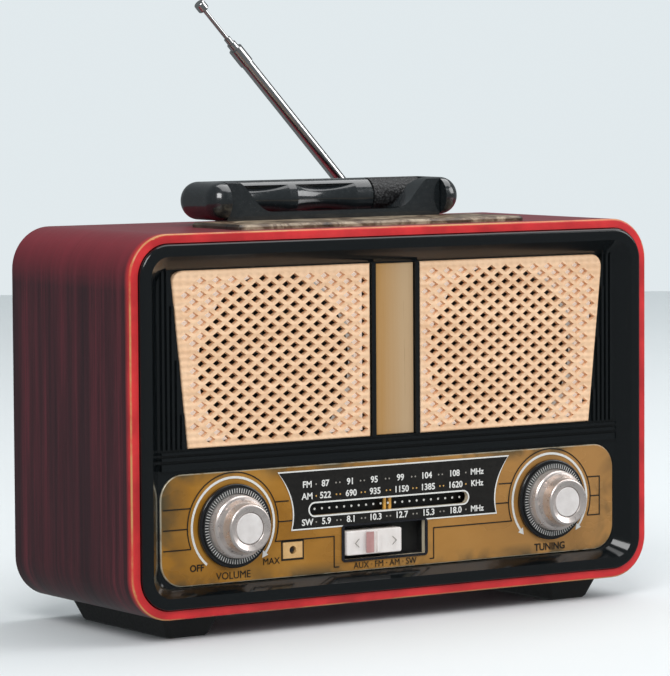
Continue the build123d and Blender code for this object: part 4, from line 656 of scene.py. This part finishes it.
# %% Slider arrows
slider_low, slider_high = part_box("band_slider")
sx = (slider_low[0] + slider_high[0]) / 2 / MM
sz = (slider_low[2] + slider_high[2]) / 2 / MM
for side, name in ((-1, "left"), (1, "right")):
    tip = sx + side * 10.2
    chevron = [(tip, sz), (tip - side * 1.9, sz + 1.7), (tip - side * 2.4, sz + 1.7),
               (tip - side * 0.6, sz), (tip - side * 2.4, sz - 1.7), (tip - side * 1.9, sz - 1.7)]
    mark = flat_piece(f"slider_arrow_{name}", [chevron], ink_grey, body="band_slider", lift=0.0, thick=0.1)
    mark.data.transform(Matrix.Translation((0, slider_low[1] - plate_front - 0.04 * MM, 0)))
worn_pink = plain("worn_pink", (0.40, 0.20, 0.19), (0.56, 0.33, 0.31), (0.35, 0.5), 300.0, bump_mm=0.006)
band_outline = [(sx - 4.6, sz - 4.2), (sx - 0.9, sz - 4.2), (sx - 0.9, sz + 4.2), (sx - 4.6, sz + 4.2)]
patch = flat_piece("slider_band", [band_outline], worn_pink, body="band_slider", lift=0.0, thick=0.1)
patch.data.transform(Matrix.Translation((0, slider_low[1] - plate_front - 0.04 * MM, 0)))


def rounded(x0, z0, x1, z1, radius, steps=8):
    """A rectangle with round corners."""
    corners = ((x1, z1, 0), (x1, z0, 90), (x0, z0, 180), (x0, z1, 270))
    points = []
    for x, z, start in corners:
        cx = x - math.copysign(radius, x - (x0 + x1) / 2)
        cz = z - math.copysign(radius, z - (z0 + z1) / 2)
        points += arc(cx, cz, radius, start, start + 90, steps)
    return points


RECESS = (-25.0, CENTRE_Z + 17.2, 14.2, CENTRE_Z + 30.6)
hole = [(RECESS[0], RECESS[1]), (RECESS[2], RECESS[1]), (RECESS[2], RECESS[3]), (RECESS[0], RECESS[3])]
lip_outline = rounded(RECESS[0] - 1.3, RECESS[1] - 1.0, RECESS[2] + 1.3, RECESS[3] + 0.7, 1.6)
flat_piece("recess_lip", [lip_outline, hole], bpy.data.materials["black_gloss"], lift=0.28, thick=0.4)

# %% [markdown]
# A white floor meets a pale blue-grey distance.  The wall only sends light back: the camera looks through it,
# so that it can also stand behind the radio, and sees the world's own colour there.  The lamps are large and
# soft: a key from the left and above, a fill from the right and one overhead, with a dim world.  Reflections
# see a still dimmer world and neither floor nor wall, which keeps the black front dark in this studio only.

# %% Floor and backdrop
def stage_paint(name, colour, shade):
    """Matt paint with a faint, broad change of tone."""
    recipe = Recipe(name)
    grain_noise = recipe.noise(3.0)
    recipe.colour(recipe.mix(recipe.span(grain_noise, 0.3, 0.7, 0.0, 0.08), colour, shade))
    recipe.set(Roughness=0.85)
    return recipe.material


clear_selection()
bpy.ops.mesh.primitive_circle_add(vertices=96, radius=2.2, fill_type="NGON", location=(0, 0, 0))
floor = bpy.context.object
floor.name = "floor"
floor.data.materials.append(stage_paint("floor_paint", (0.78, 0.80, 0.81), (0.70, 0.73, 0.74)))
clear_selection()
wall_turn = (math.radians(90), 0, math.radians(-33.5))
bpy.ops.mesh.primitive_plane_add(size=8, location=(1.2, 1.9, 2.0), rotation=wall_turn)
wall = bpy.context.object
wall.name = "backdrop"
wall.data.materials.append(stage_paint("wall_paint", (0.84, 0.91, 0.93), (0.80, 0.88, 0.90)))
floor.visible_glossy = False
wall.visible_glossy = False
wall.visible_camera = False

# %% Lights


def soft_lamp(name, place, target, size, watts):
    """A large area lamp, aimed at a point."""
    clear_selection()
    bpy.ops.object.light_add(type="AREA", location=place)
    lamp = bpy.context.object
    lamp.name = name
    lamp.data.shape = "RECTANGLE"
    lamp.data.size, lamp.data.size_y = size
    lamp.data.energy = watts
    aim = Vector(target) - Vector(place)
    lamp.rotation_euler = aim.to_track_quat("-Z", "Y").to_euler()


soft_lamp("key", (-1.3, -1.5, 1.7), (0, 0, 0.08), (1.2, 1.2), 34)
soft_lamp("fill", (1.9, -1.1, 1.0), (0, 0, 0.08), (1.2, 1.0), 14)
soft_lamp("top", (0.75, 0.05, 1.75), (0, 0, 0.1), (1.8, 1.8), 20)
CAMERA_STRENGTH = 0.88
DIFFUSE_STRENGTH = 0.45
GLOSSY_STRENGTH = 0.20
world = bpy.data.worlds.new("room")
bpy.context.scene.world = world
world.use_nodes = True
world.node_tree.nodes["Background"].inputs["Color"].default_value = (0.86, 0.93, 0.96, 1)
path = world.node_tree.nodes.new("ShaderNodeLightPath")
dim = world.node_tree.nodes.new("ShaderNodeMapRange")
dim.inputs["To Min"].default_value = DIFFUSE_STRENGTH
dim.inputs["To Max"].default_value = GLOSSY_STRENGTH
world.node_tree.links.new(path.outputs["Is Glossy Ray"], dim.inputs["Value"])
seen = world.node_tree.nodes.new("ShaderNodeMapRange")
seen.inputs["To Max"].default_value = CAMERA_STRENGTH
world.node_tree.links.new(path.outputs["Is Camera Ray"], seen.inputs["Value"])
world.node_tree.links.new(dim.outputs["Result"], seen.inputs["To Min"])
world.node_tree.links.new(seen.outputs["Result"], world.node_tree.nodes["Background"].inputs["Strength"])

# %% [markdown]
# The camera stands to the left of the front, a little above the dial, with a long lens.

# %% Camera
YAW = math.radians(33.51)
PITCH = math.radians(4.08)
ROLL = math.radians(0.33)
HALF_DEPTH = 46.5               # from the middle of the cabinet to its front, in millimetres
FEET = 9.0
eye = Vector((-876.9, -1277.7 - HALF_DEPTH, 215.8 + FEET)) * MM
ahead = Vector((math.sin(YAW) * math.cos(PITCH), math.cos(YAW) * math.cos(PITCH), -math.sin(PITCH)))
level_right = Vector((math.cos(YAW), -math.sin(YAW), 0))
level_up = level_right.cross(ahead)
right = level_right * math.cos(ROLL) - level_up * math.sin(ROLL)
top = level_up * math.cos(ROLL) + level_right * math.sin(ROLL)
camera_data = bpy.data.cameras.new("camera")
camera = bpy.data.objects.new("camera", camera_data)
bpy.context.collection.objects.link(camera)
camera_data.lens = 206.4
camera_data.sensor_width = 36.0
camera_data.clip_end = 20
turn = Matrix((right, top, -ahead)).transposed()
camera.matrix_world = Matrix.Translation(eye) @ turn.to_4x4()
bpy.context.scene.camera = camera
bpy.context.scene.view_settings.view_transform = "Standard"

# %% Leave nothing selected
clear_selection()
